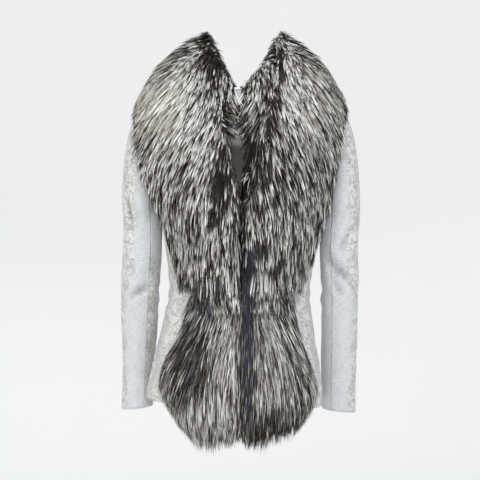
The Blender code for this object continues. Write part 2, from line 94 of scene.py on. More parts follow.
# The cloth's unevenness: scale of the noise, and height in millimetres
Ripple = namedtuple("Ripple", "scale high")
ROUGH, FINE = Ripple(24, 1.1), Ripple(60, 0.35)
LEFT_SHIFT, OTHER_SHIFT = 7.0, 31.0  # where in the noise the left side's pieces and the others lie
UNEVEN = 0.7  # how much it changes the depth of a crease
RIDGE_SHARE, RIDGE_AT, RIDGE_NARROW = 0.5, 1.9, 1.4  # height, place and narrowness of a trough's ridges
CREASE_END = 0.04  # share of a crease at each end that gets no shallower
FOLD_FROM, FOLD_FULL = 1.4, 5.5  # depths of a crease where its painted shade starts, and is darkest
# how much darker the cloth's colour is at a crease's deepest: painted shade
CREASE_PAINTED_SHADE = 0.34

# Soft creases. turn is in degrees round the tube from its right side for the body, and from its
# outer line for a sleeve; a quarter turn is the back of the body and the front of a sleeve.
# Each runs from turn1, drop1 to turn2, drop2; wide and deep are its trough's, in millimetres.
Crease = namedtuple("Crease", "turn1 drop1 turn2 drop2 wide deep")
SLEEVE_CREASES = [
    Crease(118, 424, 62, 446, 8, 4.6),
    Crease(122, 446, 84, 462, 7, 3.0),
    Crease(115, 398, 78, 392, 9, 2.6),
    Crease(60, 458, 20, 452, 10, 2.0),
    Crease(205, 436, 150, 418, 9, 2.8),
    Crease(215, 462, 160, 470, 8, 1.5),
    Crease(240, 410, 285, 424, 10, 2.6),
    Crease(100, 330, 60, 366, 11, 1.8),
    Crease(92, 512, 40, 540, 11, 1.6),
    Crease(70, 598, 110, 620, 9, 1.5),
    Crease(-60, 420, -110, 444, 9, 3.0),
    Crease(-70, 452, -120, 470, 9, 2.2),
    Crease(-40, 560, -95, 590, 10, 1.6),
    Crease(150, 250, 100, 290, 12, 2.4),
    Crease(200, 240, 230, 300, 12, 2.2),
    Crease(20, 300, 5, 380, 16, 1.4),
]
OWN_CREASES = {
    "left": [
        Crease(50, 232, 70, 322, 5, 5.5),
        Crease(116, 420, 58, 442, 7.5, 2.8),
        Crease(84, 372, 40, 398, 8, 4.6),
    ],
    "right": [
        Crease(132, 362, 60, 420, 9, 7.6),
        Crease(120, 402, 86, 430, 7, 5.0),
        Crease(60, 300, 92, 352, 9, 4.0),
    ],
}
BODY_CREASES = [
    Crease(8, 418, -28, 430, 10, 2.6),
    Crease(14, 446, -22, 452, 9, 2.0),
    Crease(-4, 388, -30, 398, 11, 1.6),
    Crease(172, 418, 208, 431, 10, 2.6),
    Crease(168, 447, 203, 453, 9, 2.0),
    Crease(184, 387, 210, 399, 11, 1.6),
    Crease(-14, 500, -16, 650, 17, 3.2),
    Crease(12, 520, 16, 650, 18, 2.6),
    Crease(194, 500, 197, 650, 17, 3.2),
    Crease(168, 520, 164, 650, 18, 2.6),
    Crease(42, 500, 38, 650, 20, 6.0),
    Crease(66, 508, 68, 650, 18, 4.6),
    Crease(92, 496, 93, 650, 20, 6.5),
    Crease(117, 510, 115, 650, 18, 4.4),
    Crease(139, 500, 143, 650, 20, 5.8),
    Crease(50, 420, 80, 428, 10, 4.4),
    Crease(98, 432, 132, 424, 10, 4.8),
    Crease(60, 446, 104, 452, 9, 3.8),
    Crease(112, 400, 140, 392, 11, 3.6),
    Crease(44, 392, 74, 402, 11, 3.2),
    Crease(40, 260, 62, 330, 16, 3.8),
    Crease(140, 262, 118, 336, 16, 3.8),
    Crease(90, 250, 91, 380, 22, 3.0),
    Crease(22, 232, 44, 262, 11, 2.6),
    Crease(158, 232, 136, 262, 11, 2.6),
    Crease(-20, 236, -38, 268, 11, 2.0),
    Crease(200, 236, 218, 268, 11, 2.0),
]

# Where the woven figure shows: so many degrees from a sleeve's outer line at each drop, beyond so many
# from the middle of the back, and below a drop on the left sleeve's under piece
Reach = namedtuple("Reach", "drop turn")
SLEEVE_FIGURE = [Reach(200, 78), Reach(400, 74), Reach(440, 52), Reach(520, 48), Reach(640, 62)]
FIGURE_EDGE, FIGURE_FADE = Ripple(70, 16), 9.0
BACK_PLAIN, BACK_FADE = 48.0, 7.0
UNDER_PLAIN, UNDER_FADE = 330.0, 60.0

# Cut sizes of the cloth, in metres: width, length and area of each flat piece
Cut = namedtuple("Cut", "width length area")

# ---------------------------------------------------------------- sizes of the fur

# Depths in millimetres below the hair's outer face; a share is the most of the height over the cloth
PELT_DROP, PELT_SHARE = 10.0, 0.6  # of the dark undercoat
PELT_CLEAR = 2.6  # how far it stays off the cloth
PELT_RISE = {"left": 26.0, "right": 13.0}  # how far its lower end lies above the hair's tips
PELT_FADE = 70.0  # the height over which that begins
ROOT_DROP, ROOT_SHARE = 13.0, 0.75  # of a lock's root
UNDERSIDE = 5.0  # a face of the fur's solid this near the cloth carries no hair
AT_MIDDLE, SIDEWAYS = 1.2, 0.9  # nor does one this near the plane between both halves that faces it
DOWNWARDS = 0.6  # a face that looks this far down is the underside of a rim
STATIONS = np.array([0.0, 0.45, 0.8, 1.0])  # places along a hair that carry its points, root to tip
STEP_COUNT = 6
HOLD_SHARE, HOLD_REACH = 0.6, 0.003  # a lock's path this near the pelt, in steps and metres, stays on it
TURN_SHARE = 0.6  # how fast its outward direction follows the pelt's
LIFT = (-1.5, 3.0)  # how far its tip stands off the pelt
STANDING_SHARE, STANDING = 0.15, 5.0  # some locks stand off further
LENGTHS = (0.75, 1.25)  # of locks, against their setting
COLLAR_SWEEP = {"left": 0.88, "right": 0.7}  # the right half's hair lies nearer to straight down
WANDER = (Ripple(22, 11), Ripple(70, 6))  # of the hair's direction, in degrees
NECK_MIDDLE = (0.004, 0.012)  # x and y
LIP_LOW = -0.27  # z below which no hair turns to the neck
LIP_FRONT = -0.03  # y before which it turns to the neck only on the neck's side of the fold line
LIP_FACING, FOLD_FACING = 0.3, -0.55  # how far the pelt must look to the neck, behind and before that y
LIP_FLOW, LIP_WANDER = 0.55, 0.02  # how level the hair beside the neck lies
NAPE_LEAN = 0.3  # how far the hair behind the neck lies backwards
LEAST_FLOW, LEAST_TURN = 0.05, 0.1  # a direction left shorter than this counts as none
SLIVER = 1e-10  # twice the area of a triangle too thin for hair, in square metres

# The fold line of the shawl collar beside the neck, by height: distance from the middle
Fold = namedtuple("Fold", "z left right")
FOLD_LINE = [
    Fold(-440, 4, 10), Fold(-255, 3, 12), Fold(-205, 8, 25), Fold(-165, 18, 43), Fold(-120, 33, 53),
    Fold(-85, 41, 60), Fold(-56, 42, 63), Fold(-22, 46, 66), Fold(25, 52, 70), Fold(90, 66, 78),
]
# How the hair lies: degrees outwards from straight down, beside the fold line and at the outer edge
Lie = namedtuple("Lie", "z inner outer edge")
COLLAR_LIE = [
    Lie(-440, 0, -12, 118), Lie(-370, 3, -6, 130), Lie(-300, 5, 10, 152), Lie(-240, 6, 24, 178),
    Lie(-160, 6, 38, 205), Lie(-80, 8, 48, 214), Lie(0, 14, 56, 196), Lie(50, 26, 62, 140),
    Lie(90, 40, 68, 90),
]
FRONT_LIE = [
    Lie(-740, 0, -14, 120), Lie(-700, 0, -13, 128), Lie(-640, 0, 0, 145), Lie(-590, 1, 14, 145),
    Lie(-540, 2, 24, 125), Lie(-500, 3, 27, 108), Lie(-440, 3, 24, 92),
]
LIE_SPAN = 0.01  # least width over which the lie turns, in metres

# Where the hair is darker or lighter than the rest: centre and reach in x and z, and by how much.
# shade -1 is black-brown and 1 silver; blue is the share of slate-blue hair.
Patch = namedtuple("Patch", "x z wide tall shade blue")
PATCHES = [
    Patch(13, -585, 12, 110, -2.4, 1.8),
    Patch(10, -440, 10, 70, -1.3, 0.9),
    Patch(4, -320, 8, 50, -1.2, 0.2),
    Patch(32, -385, 24, 40, -0.8, 0.45),
    Patch(66, -410, 28, 26, -0.7, 0.15),
    Patch(-66, -460, 26, 28, -0.9, 0.4),
    Patch(-98, -575, 27, 72, -2.9, 0.35),
    Patch(-70, -600, 12, 50, -0.6, 0.2),
    Patch(-128, -600, 18, 50, -0.8, 0.1),
    Patch(58, -706, 48, 36, -3.6, 0.0),
    Patch(112, -600, 16, 50, -0.7, 0.1),
    Patch(96, -480, 20, 34, -0.6, 0.1),
    Patch(-36, -590, 28, 90, 0.25, 0.0),
    Patch(50, -590, 24, 80, 0.15, 0.0),
    Patch(-50, -715, 50, 22, -0.3, 0.0),
    Patch(-110, -430, 20, 20, -0.6, 0.1),
    Patch(-150, -90, 60, 80, 1.2, 0.0),
    Patch(-90, -160, 50, 90, 0.1, 0.0),
    Patch(150, -90, 50, 80, 0.6, 0.0),
    Patch(100, -215, 60, 90, -0.4, 0.0),
    Patch(54, -165, 14, 76, -0.9, 0.0),
    Patch(34, -240, 18, 46, -0.9, 0.05),
    Patch(26, -196, 17, 48, -3.0, 0.0),
    Patch(58, -100, 12, 42, -1.6, 0.0),
    Patch(70, 20, 16, 30, -0.9, 0.0),
    Patch(-36, -222, 17, 62, -2.5, 0.0),
    Patch(-32, -100, 9, 30, -1.3, 0.0),
    Patch(-60, 12, 22, 38, -2.6, 0.0),
    Patch(-72, 62, 24, 28, -1.6, 0.0),
    Patch(-60, -310, 60, 50, -0.35, 0.0),
]

# Kinds of hair, as sixths of the strand map's width
KINDS = 6
DARK, BANDED, SILVER, SMOKE, SLATE, BROWN = range(KINDS)
HAIR_MAP_WIDTH, HAIR_MAP_MARGIN = 0.0015, 0.01  # of one strand in the hair's map, and beyond its ends
HAIR_TAPER = np.array([0.75, 1.0, 0.85])  # width of a hair at each station but its tip
HAIR_WIDTHS = (0.75, 1.25)  # against the setting
LOCK_TAPER, ROOT_DIP, TIP_BEND = 0.8, 1.5, 2  # powers: how a lock narrows, dips to its root and bends
END_SHARE = {"fur_collar": 1.9, "fur_front": 2.8}  # how much denser the locks are near a pelt's rim
END_REACH = {"fur_collar": 16.0, "fur_front": 22.0}  # and how near that is
RIM_REACH, RIM_CURL = 11.0, 5.0  # a rim's locks hang over it and bend in below it
FRINGE, FRINGE_SHARES = 9.0, (0.1, 1.0)  # how far they hang over it
PEAKS = 0.035  # height in metres above which every root stays on the pelt
PEAK_FRINGE, PEAK_REACH = 7.0, 0.03  # how far the hair stands up this near below the collar's peaks
BEHIND_SHARE = 0.7  # how dense the locks are behind, against those in front
LOOSE_SHARE, LOOSE_REACH = 0.08, 2.2  # of the hairs leave their lock, and how far
BEND = 1.3  # spread of a hair's sideways bend
LOCK_FLAT = 0.6  # thickness of a lock against its width
TWIST = 0.6  # how far a hair is turned about its length, in radians
STRAY_COLLAR, STRAY_FRONT = 0.16, 0.42  # shares of hairs of another kind than their lock
BROWN_SHARE, STREAK_SHARE = 0.2, 0.08  # brown and banded locks among the dark ones
STREAK_SHADE = -0.1  # of those banded locks
DARK_BELOW, STRAYS_DARK_BELOW = -0.42, -0.9  # shades below which a lock is dark, and its stray hairs too
SILVER_FROM = 0.6  # shade from which a lock is silver all along
SHOULDER_OUT, SHOULDER_LOW = 125.0, -190.0  # beyond this x and above this z, hair is often smoky
SMOKE_SHOULDER, SMOKE_FRONT, SLATE_SHARE = 0.55, 0.35, 0.85
LIP_SHADE = 0.5  # how much darker the hair beside the neck is
CLOUD = Ripple(30, 0.3)  # of the shade over the pelt
TONE_MIDDLE, TONE_GAIN, TONE_SPREAD, TONE_ENDS = 0.5, 0.22, 0.2, (0.04, 0.96)  # lightness within a kind
REACH_COLLAR, REACH_FRONT = (0.88, 1.06), (0.78, 1.1)  # how long a lock's hairs are beside each other
TIP_COLLAR, TIP_FRONT = 0.2, 0.6  # how wide a lock still is at its tip, as a share of its root
SHADE_MEAN, SHADE_SPREAD = -0.34, 0.72  # of the locks' chance shade
MEETING = (-145, -76)  # heights between which the hair of both collar edges meets over the opening
MEETING_REACH, MEETING_SHARES, MEETING_BEND = 20.0, (0.2, 1.0), 1.5
MEETING_HALF, MEETING_FRONT = 0.03, -0.05  # in metres: this near the middle and this far forward
# The gap that the hair leaves free before the pale satin inside the back of the neck: heights, and x at its
# top and at its bottom
NECK_GAP_HEIGHTS = (-78, -12)
NECK_GAP = {"left": ((-22, 6), (-13, 5)), "right": ((-1, 6), (0, 4))}
OVERHANG, OVERHANG_LIFT = 46.0, (1, 5)  # how far the collar's lowest locks hang over the fur fronts, and off
OVERHANG_SHARE, OVERHANG_LENGTH = 0.09, 1.25  # their number and length against the collar's other locks
OVERHANG_FACING = 0.8  # how far the pelt below them looks to the front
PEAK_LENGTH, PEAK_FROM = 0.8, 0.02  # the collar's hair is shortened to this above this height in metres
CHEST_FRONT = -0.035  # y that parts the chest's hair from the shoulders'
SEEDS = {"left": 11, "right": 23}

# The woven figure, as shares of one repeat
PETALS = 6.0
PETAL_DEPTH, FLOWER_REACH, FLOWER_FADE, FLOWER_RINGS = 0.045, 0.24, 0.06, 60.0
LINE_STRENGTH = 0.8  # of the grey outlines

# Sizes of weaves and grains, in metres
CURL_SIZE = 0.0105  # of the woven curls
WOBBLE, WOBBLE_SIZE = 0.009, 1 / 55  # how far the figure wanders, and over what length
MOTTLE_SIZE, NAP_SIZE = 1 / 28, 1 / 900  # of the jacquard's cloudy tone and of its fibres
SLUB_LENGTH, SLUB_HEIGHT = 0.008, 0.002  # of the crosswise yarn
TWILL = 0.0014  # between the twill's threads, where the real ones are 0.5 mm apart, so that they show
SATIN_THREAD = 0.0012  # between the satins' threads, where the real ones are 0.2 mm apart
SATIN_CLOUD = 1 / 22  # of the satins' uneven tone
TUFT_WIDTH, TUFT_LENGTH = 1 / 400, 1 / 60  # of the undercoat
ROLLER_GRAIN = 1 / 300
WAVE = 0.314  # scale times spacing of Blender's wave bands
SLUB_SHARE, MOTTLE_SHARE = 1.6, 0.5  # of the yarn's tone
THREAD_RISE, FIGURE_RISE, SEAM_RISE = 0.7, -4.0, -6.0  # of the jacquard's relief, against its nap
SEAM_NARROW = 3.0  # power that narrows the grey line along a seam

# The stage, in metres and watts. A lamp's power is its share of the main softbox's setting.
CAMERA_PLACE = (-0.002, -2.5, -0.33)
LENS = 93.75
FLOOR = -1.2
FLOOR_REACH, COVE_RADIUS, WALL_HEIGHT = 2.2, 3.0, 1.0
COVE_STEPS, ROUND_STEPS = 20, 72
AIR_STRENGTH = 0.75
Lamp = namedtuple("Lamp", "name place size share tint")
LAMP_AIM = (0.0, 0.0, -0.3)
WALL_LAMP_AIM = (0.0, 5.0, 1.8)
# A narrow spot that falls over the collar onto the pale satin inside the back of the neck
NECK_SPOT_PLACE, NECK_SPOT_AIM = (0.0, -1.1, 1.4), (-0.004, 0.05, -0.018)
NECK_SPOT_POWER, NECK_SPOT_CONE, NECK_SPOT_BLEND = 270.0, math.radians(2.3), 0.5
LAMPS = [
    Lamp("key_softbox", (-1.9, -2.8, 1.2), 1.6, 0.64, "#FFFBF4"),
    Lamp("fill_softbox", (2.4, -2.4, 0.4), 2.0, 0.22, "#E8F1FF"),
    Lamp("front_softbox", (0.1, -3.4, 0.2), 1.4, 0.34, "#FFFFFF"),
    Lamp("top_softbox", (0.0, -1.25, 1.5), 0.7, 0.24, "#FFFFFF"),
    Lamp("back_softbox", (-0.6, 3.0, 1.6), 2.0, 0.26, "#FFFFFF"),
    Lamp("wall_softbox", (0.0, 1.6, 1.6), 2.0, 0.16, "#FFFFFF"),
]


def linear(code):
    """Linear RGBA of an sRGB hex colour."""
    parts = [int(code[i:i + 2], 16) / 255 for i in (1, 3, 5)]
    return (*[c / 12.92 if c <= 0.04045 else ((c + 0.055) / 1.055) ** 2.4 for c in parts], 1.0)


def feed(tree, node, inputs):
    """Gives a node its inputs. Each is a value, a socket or a node whose first output is meant."""
    for name, value in inputs.items():
        source = value.outputs[0] if isinstance(value, bpy.types.Node) else value
        if isinstance(source, bpy.types.NodeSocket):
            tree.links.new(source, node.inputs[name])
        else:
            node.inputs[name].default_value = source


def add(tree, kind, settings=None, inputs=None, stops=()):
    """Adds a shader node with its settings and links. stops are the (place, hex colour) pairs of a
    colour ramp."""
    new = tree.nodes.new("ShaderNode" + kind)
    for name, value in (settings or {}).items():
        setattr(new, name, value)
    feed(tree, new, inputs or {})
    for number, (place, colour) in enumerate(stops):
        elements = new.color_ramp.elements
        element = elements[number] if number < len(elements) else elements.new(1.0)
        element.position = place
        element.color = linear(colour)
    return new


def new_material(name):
    """An empty material: its tree and its Principled shader, joined to the output."""
    made = bpy.data.materials.new(name)
    made.use_nodes = True
    tree = made.node_tree
    tree.nodes.clear()
    shader = add(tree, "BsdfPrincipled")
    add(tree, "OutputMaterial", {}, {"Surface": shader})
    return made, tree, shader


def woven_wool_silk_jacquard():
    """Wool and silk jacquard, woven and pressed. The eye sees a matt, cool white twill, and in the side
    panels and along the outer sleeves small off-white flowers and curls, outlined in warm grey."""
    made, tree, shader = new_material("woven_wool_silk_jacquard")
    sizes = bpy.context.scene.jacket_cloth
    uv = add(tree, "UVMap", {"uv_map": "Cloth"})
    wobble = add(tree, "TexNoise", {}, {"Vector": uv, "Scale": 1 / WOBBLE_SIZE, "Detail": 1.0})
    offset = add(tree, "VectorMath", {"operation": "SCALE"}, {0: wobble.outputs["Color"], "Scale": WOBBLE})
    moved = add(tree, "VectorMath", {"operation": "ADD"}, {0: uv, 1: offset})
    # one flower to a repeat, each row half a repeat on from the last
    scale = (1 / sizes.repeat_width, 1 / sizes.repeat_height, 1.0)
    lattice = add(tree, "Mapping", {}, {"Vector": moved, "Rotation": (0, 0, math.pi / 4), "Scale": scale})
    cell = add(
        tree, "TexVoronoi", {"voronoi_dimensions": "2D"}, {"Vector": lattice, "Scale": 1.0, "Randomness": 0.0}
    )
    inward = add(tree, "VectorMath", {"operation": "SUBTRACT"}, {0: lattice, 1: cell.outputs["Position"]})
    parts = add(tree, "SeparateXYZ", {}, {0: inward})
    turn = add(tree, "Math", {"operation": "ARCTAN2"}, {0: parts.outputs[1], 1: parts.outputs[0]})
    turns = add(tree, "Math", {"operation": "MULTIPLY"}, {0: turn, 1: PETALS})
    petals = add(tree, "Math", {"operation": "COSINE"}, {0: turns})
    rim = add(tree, "Math", {"operation": "MULTIPLY_ADD"}, {0: petals, 1: PETAL_DEPTH, 2: FLOWER_REACH})
    within = add(tree, "Math", {"operation": "SUBTRACT"}, {0: rim, 1: cell.outputs["Distance"]})
    rings = add(tree, "Math", {"operation": "MULTIPLY"}, {0: within, 1: FLOWER_RINGS})
    ringed = add(tree, "Math", {"operation": "COSINE"}, {0: rings})
    bloom = add(tree, "MapRange", {}, {0: within, 1: -FLOWER_FADE, 2: 0.0})
    outline = add(tree, "MapRange", {}, {0: ringed, 1: 0.1, 2: 0.9})
    flower = add(tree, "Math", {"operation": "MULTIPLY"}, {0: bloom, 1: outline})
    wander = add(
        tree, "TexNoise", {}, {"Vector": moved, "Scale": 1 / CURL_SIZE, "Detail": 0.6, "Distortion": 0.9}
    )
    curls = add(
        tree, "ValToRGB", {}, {0: wander},
        [(0.40, "#000000"), (0.46, "#FFFFFF"), (0.51, "#FFFFFF"), (0.57, "#000000")],
    )
    figure = add(tree, "Math", {"operation": "MAXIMUM"}, {0: flower, 1: curls})
    mask = add(tree, "Attribute", {"attribute_name": "brocade"})
    lines = add(tree, "Math", {"operation": "MULTIPLY"}, {0: figure, 1: mask.outputs["Fac"]})
    drawn = add(tree, "Math", {"operation": "MULTIPLY"}, {0: lines, 1: LINE_STRENGTH})
    crosswise = add(tree, "Mapping", {}, {"Vector": uv, "Scale": (1 / SLUB_LENGTH, 1 / SLUB_HEIGHT, 1.0)})
    slubs = add(tree, "TexNoise", {}, {"Vector": crosswise, "Scale": 1.0, "Detail": 2.0})
    mottle = add(tree, "TexNoise", {}, {"Vector": uv, "Scale": 1 / MOTTLE_SIZE, "Detail": 3.0})
    faint = add(tree, "Math", {"operation": "MULTIPLY"}, {0: mottle, 1: MOTTLE_SHARE})
    yarn = add(tree, "Math", {"operation": "MULTIPLY_ADD"}, {0: slubs, 1: SLUB_SHARE, 2: faint})
    cloudy = add(tree, "MapRange", {}, {0: yarn, 1: 0.65, 2: 1.45})
    border = add(tree, "Attribute", {"attribute_name": "seam"})
    seam = add(tree, "Math", {"operation": "POWER"}, {0: border.outputs["Fac"], 1: SEAM_NARROW})
    # the light yarn, the figure, its outlines and the seams, each over the last
    colour = (*sizes.ground_dark, 1)
    layers = (
        (cloudy, sizes.ground_light), (mask.outputs["Fac"], sizes.motif), (drawn, sizes.motif_shadow),
        (seam, linear("#7C8085")[:3]),
    )
    for share, over in layers:
        colour = add(tree, "Mix", {"data_type": "RGBA"}, {0: share, 6: colour, 7: (*over, 1)}).outputs[2]
    # painted shade: the cloth's colour is darkened in the hollow of a crease, where shade gathers
    hollow = add(tree, "Attribute", {"attribute_name": "fold"})
    lit = add(tree, "Math", {"operation": "MULTIPLY_ADD"}, {0: hollow.outputs["Fac"], 1: -CREASE_PAINTED_SHADE, 2: 1.0})
    shaded = add(tree, "VectorMath", {"operation": "SCALE"}, {0: colour, "Scale": lit})
    twill = add(
        tree, "TexWave", {"bands_direction": "DIAGONAL"},
        {"Vector": uv, "Scale": WAVE / TWILL, "Distortion": 0.6, "Detail": 1.0},
    )
    relief = add(tree, "TexNoise", {}, {"Vector": uv, "Scale": 1 / NAP_SIZE, "Detail": 2.0})
    for layer, rise in ((twill, THREAD_RISE), (lines, FIGURE_RISE), (seam, SEAM_RISE)):
        relief = add(tree, "Math", {"operation": "MULTIPLY_ADD"}, {0: layer, 1: rise, 2: relief})
    bump = add(tree, "Bump", {}, {"Height": relief, "Strength": 0.5, "Distance": 0.00015})
    gloss = add(tree, "MapRange", {}, {0: mask.outputs["Fac"], 3: 0.8, 4: 0.62})
    feed(tree, shader, {"Base Color": shaded, "Normal": bump, "Roughness": gloss})
    feed(tree, shader, {"Sheen Weight": 0.15, "Sheen Roughness": 0.5, "IOR": 1.45})
    return made


def satin(name, dark, light):
    """Viscose satin, woven: the eye sees a smooth face with a soft gloss, slightly cloudy."""
    made, tree, shader = new_material(name)
    place = add(tree, "TexCoord")
    cloud = add(
        tree, "TexNoise", {}, {"Vector": place.outputs["Object"], "Scale": 1 / SATIN_CLOUD, "Detail": 2.0}
    )
    colour = add(tree, "ValToRGB", {}, {0: cloud}, [(0.3, dark), (0.7, light)])
    threads = add(
        tree, "TexWave", {"bands_direction": "DIAGONAL"},
        {"Vector": place.outputs["Object"], "Scale": WAVE / SATIN_THREAD},
    )
    bump = add(tree, "Bump", {}, {"Height": threads, "Strength": 0.1, "Distance": 0.0002})
    feed(tree, shader, {"Base Color": colour, "Normal": bump, "Roughness": 0.38, "IOR": 1.5})
    return made


def woven_viscose_lining_satin():
    """The body's and sleeves' lining: warm grey."""
    return satin("woven_viscose_lining_satin", "#8F8780", "#A6A29D")


def woven_viscose_neck_satin_painted_light():
    """The lining inside the back of the neck, painted very pale grey-blue: painted light, for the light that
    falls into the neck.
    """
    return satin("woven_viscose_neck_satin_painted_light", "#E4EAEC", "#F2F8FA")


def dressed_fox_undercoat():
    """Dressed silver fox undercoat: the eye sees a dense, soft, nearly black ground between the locks."""
    made, tree, shader = new_material("dressed_fox_undercoat")
    place = add(tree, "TexCoord")
    tufts = (1 / TUFT_WIDTH, 1 / TUFT_WIDTH, 1 / TUFT_LENGTH)
    stretch = add(tree, "Mapping", {}, {"Vector": place.outputs["Object"], "Scale": tufts})
    down = add(tree, "TexNoise", {}, {"Vector": stretch, "Scale": 1.0, "Detail": 3.0})
    colour = add(tree, "ValToRGB", {}, {0: down}, [(0.35, "#110E0C"), (0.7, "#3A332D")])
    bump = add(tree, "Bump", {}, {"Height": down, "Strength": 0.8, "Distance": 0.002})
    feed(tree, shader, {"Base Color": colour, "Normal": bump, "Roughness": 0.95, "Specular IOR Level": 0.1})
    return made


# Colours along one hair of each kind, from its root at 0 to its tip at 1
HAIR_STOPS = {
    DARK: [(0.0, "#080706"), (0.5, "#15100E"), (0.8, "#2A221E"), (1.0, "#120D0B")],
    BANDED: [
        (0.0, "#0B0908"), (0.44, "#1C1613"), (0.54, "#C9C7C2"), (0.82, "#F2F1ED"),
        (0.9, "#5A524B"), (1.0, "#15100E"),
    ],
    SILVER: [(0.0, "#171311"), (0.3, "#5E5A56"), (0.45, "#DCDBD5"), (0.94, "#FBFAF4"), (1.0, "#C2BFB6")],
    SMOKE: [(0.0, "#1A1716"), (0.4, "#57534E"), (0.62, "#9C9992"), (0.9, "#C8C5BB"), (1.0, "#5A554D")],
    SLATE: [(0.0, "#0C0D11"), (0.4, "#1F232D"), (0.8, "#4A5060"), (1.0, "#2D313D")],
    BROWN: [(0.0, "#0D0A09"), (0.45, "#28211D"), (0.8, "#5E544B"), (1.0, "#2A221D")],
}


def combed_silver_fox_guard_hair():
    """Silver fox guard hair, natural and combed. The eye sees fine streaks, black at the root, white in a
    band and dark at the tip, faintly glossy. The map's x picks the kind of hair and y runs along it."""
    made, tree, shader = new_material("combed_silver_fox_guard_hair")
    uv = add(tree, "UVMap", {"uv_map": "OFBake"})
    split = add(tree, "SeparateXYZ", {}, {0: uv})
    place = add(tree, "Math", {"operation": "MULTIPLY"}, {0: split.outputs[0], 1: float(KINDS)})
    colour = add(tree, "ValToRGB", {}, {0: split.outputs[1]}, HAIR_STOPS[DARK]).outputs[0]
    for kind in range(BANDED, KINDS):
        shade = add(tree, "ValToRGB", {}, {0: split.outputs[1]}, HAIR_STOPS[kind])
        picked = add(tree, "Math", {"operation": "GREATER_THAN"}, {0: place, 1: float(kind)})
        colour = add(tree, "Mix", {"data_type": "RGBA"}, {0: picked, 6: colour, 7: shade}).outputs[2]
    tone = add(tree, "Math", {"operation": "FRACT"}, {0: place})
    tint = add(tree, "MapRange", {}, {0: tone, 3: 0.55, 4: 1.2})
    toned = add(tree, "VectorMath", {"operation": "SCALE"}, {0: colour, "Scale": tint})
    feed(tree, shader, {"Base Color": toned, "Roughness": 0.5, "Specular IOR Level": 0.2})
    return made


def rolled_matt_studio_paint():
    """Matt emulsion rolled on a smooth studio wall and floor: the eye sees one plain pale grey, no gloss."""
    made, tree, shader = new_material("rolled_matt_studio_paint")
    place = add(tree, "TexCoord")
    grain = add(tree, "TexNoise", {}, {"Vector": place.outputs["Object"], "Scale": 1 / ROLLER_GRAIN})
    colour = add(tree, "ValToRGB", {}, {0: grain}, [(0.3, "#F9F9F9"), (0.7, "#FBFBFB")])
    feed(tree, shader, {"Base Color": colour, "Roughness": 0.95, "Specular IOR Level": 0.0})
    return made


def finish(maker):
    """The material that a function makes, made once."""
    return bpy.data.materials.get(maker.__name__) or maker()


def side_of(name):
    """left or right, from the end of a node's name."""
    return name.rsplit("_", 1)[1]


def linked(data, name):
    """A new object in the scene."""
    piece = bpy.data.objects.new(name, data)
    bpy.context.scene.collection.objects.link(piece)
    return piece


def aimed(light, place, aim):
    """A light at a place, turned to a point."""
    holder = linked(light, light.name)
    holder.location = place
    holder.rotation_euler = (Vector(aim) - Vector(place)).to_track_quat("-Z", "Y").to_euler()
    return holder


def placed(mesh, name, node):
    """A finished piece over its node of the part."""
    piece = linked(mesh, name)
    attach(piece, "root")
    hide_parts(node)
    return piece


def merged_copy(node):
    """A CAD node's mesh with its loose triangles merged and paired into four-sided faces."""
    bm = bmesh.new()
    bm.from_mesh(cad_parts[node].data)
    bmesh.ops.remove_doubles(bm, verts=bm.verts, dist=MERGE)
    bmesh.ops.join_triangles(
        bm, faces=bm.faces, angle_face_threshold=PAIR_BEND, angle_shape_threshold=PAIR_SHAPE
    )
    return bm


def at_height(rows, z, column, unit=MM):
    """A column of a table at heights in metres."""
    return np.interp(z, [row.z * MM for row in rows], [getattr(row, column) * unit for row in rows])


def unrolled(points, node):
    """For each point: its turn in degrees round its tube, its place on the unrolled cloth in
    millimetres, and the outward direction."""
    x, y, z = points.T
    if node.startswith("sleeve"):
        word = side_of(node)
        rows = SLEEVE_MIDDLE[word]
        middle_x, middle_y = at_height(rows, z, "x"), at_height(rows, z, "y")
        turn = np.arctan2(-(y - middle_y), SIDES[word] * (x - middle_x))
        turn = np.where(turn < SLEEVE_TURN_FROM, turn + 2 * math.pi, turn)
        along = turn * SLEEVE_RADIUS
        core_z = np.minimum(z, SLEEVE_CORE_TOP * MM)
    else:
        middle_x, middle_y = at_height(BODY_MIDDLE, z, "x"), at_height(BODY_MIDDLE, z, "y")
        turn = np.arctan2((y - middle_y) / BODY_DEPTH, (x - middle_x) / BODY_HALF)
        turn = np.where(turn < BODY_TURN_FROM, turn + 2 * math.pi, turn)
        steps = np.linspace(-math.pi / 2, 3 * math.pi / 2, GIRTH_STEPS + 1)
        speed = np.hypot(BODY_HALF * np.sin(steps), BODY_DEPTH * np.cos(steps))
        length = np.concatenate([[0], np.cumsum((speed[1:] + speed[:-1]) / 2 * np.diff(steps))])
        along = np.interp(turn, steps, length)
        core_z = np.minimum(z, BODY_CORE_TOP * MM)
        middle_x = np.where(z > core_z, SHOULDER_SHARE * x, middle_x)
    out = points - np.stack([middle_x, middle_y, core_z], 1)
    out /= np.linalg.norm(out, axis=1)[:, None]
    return np.degrees(turn), np.stack([along, z / MM], 1), out


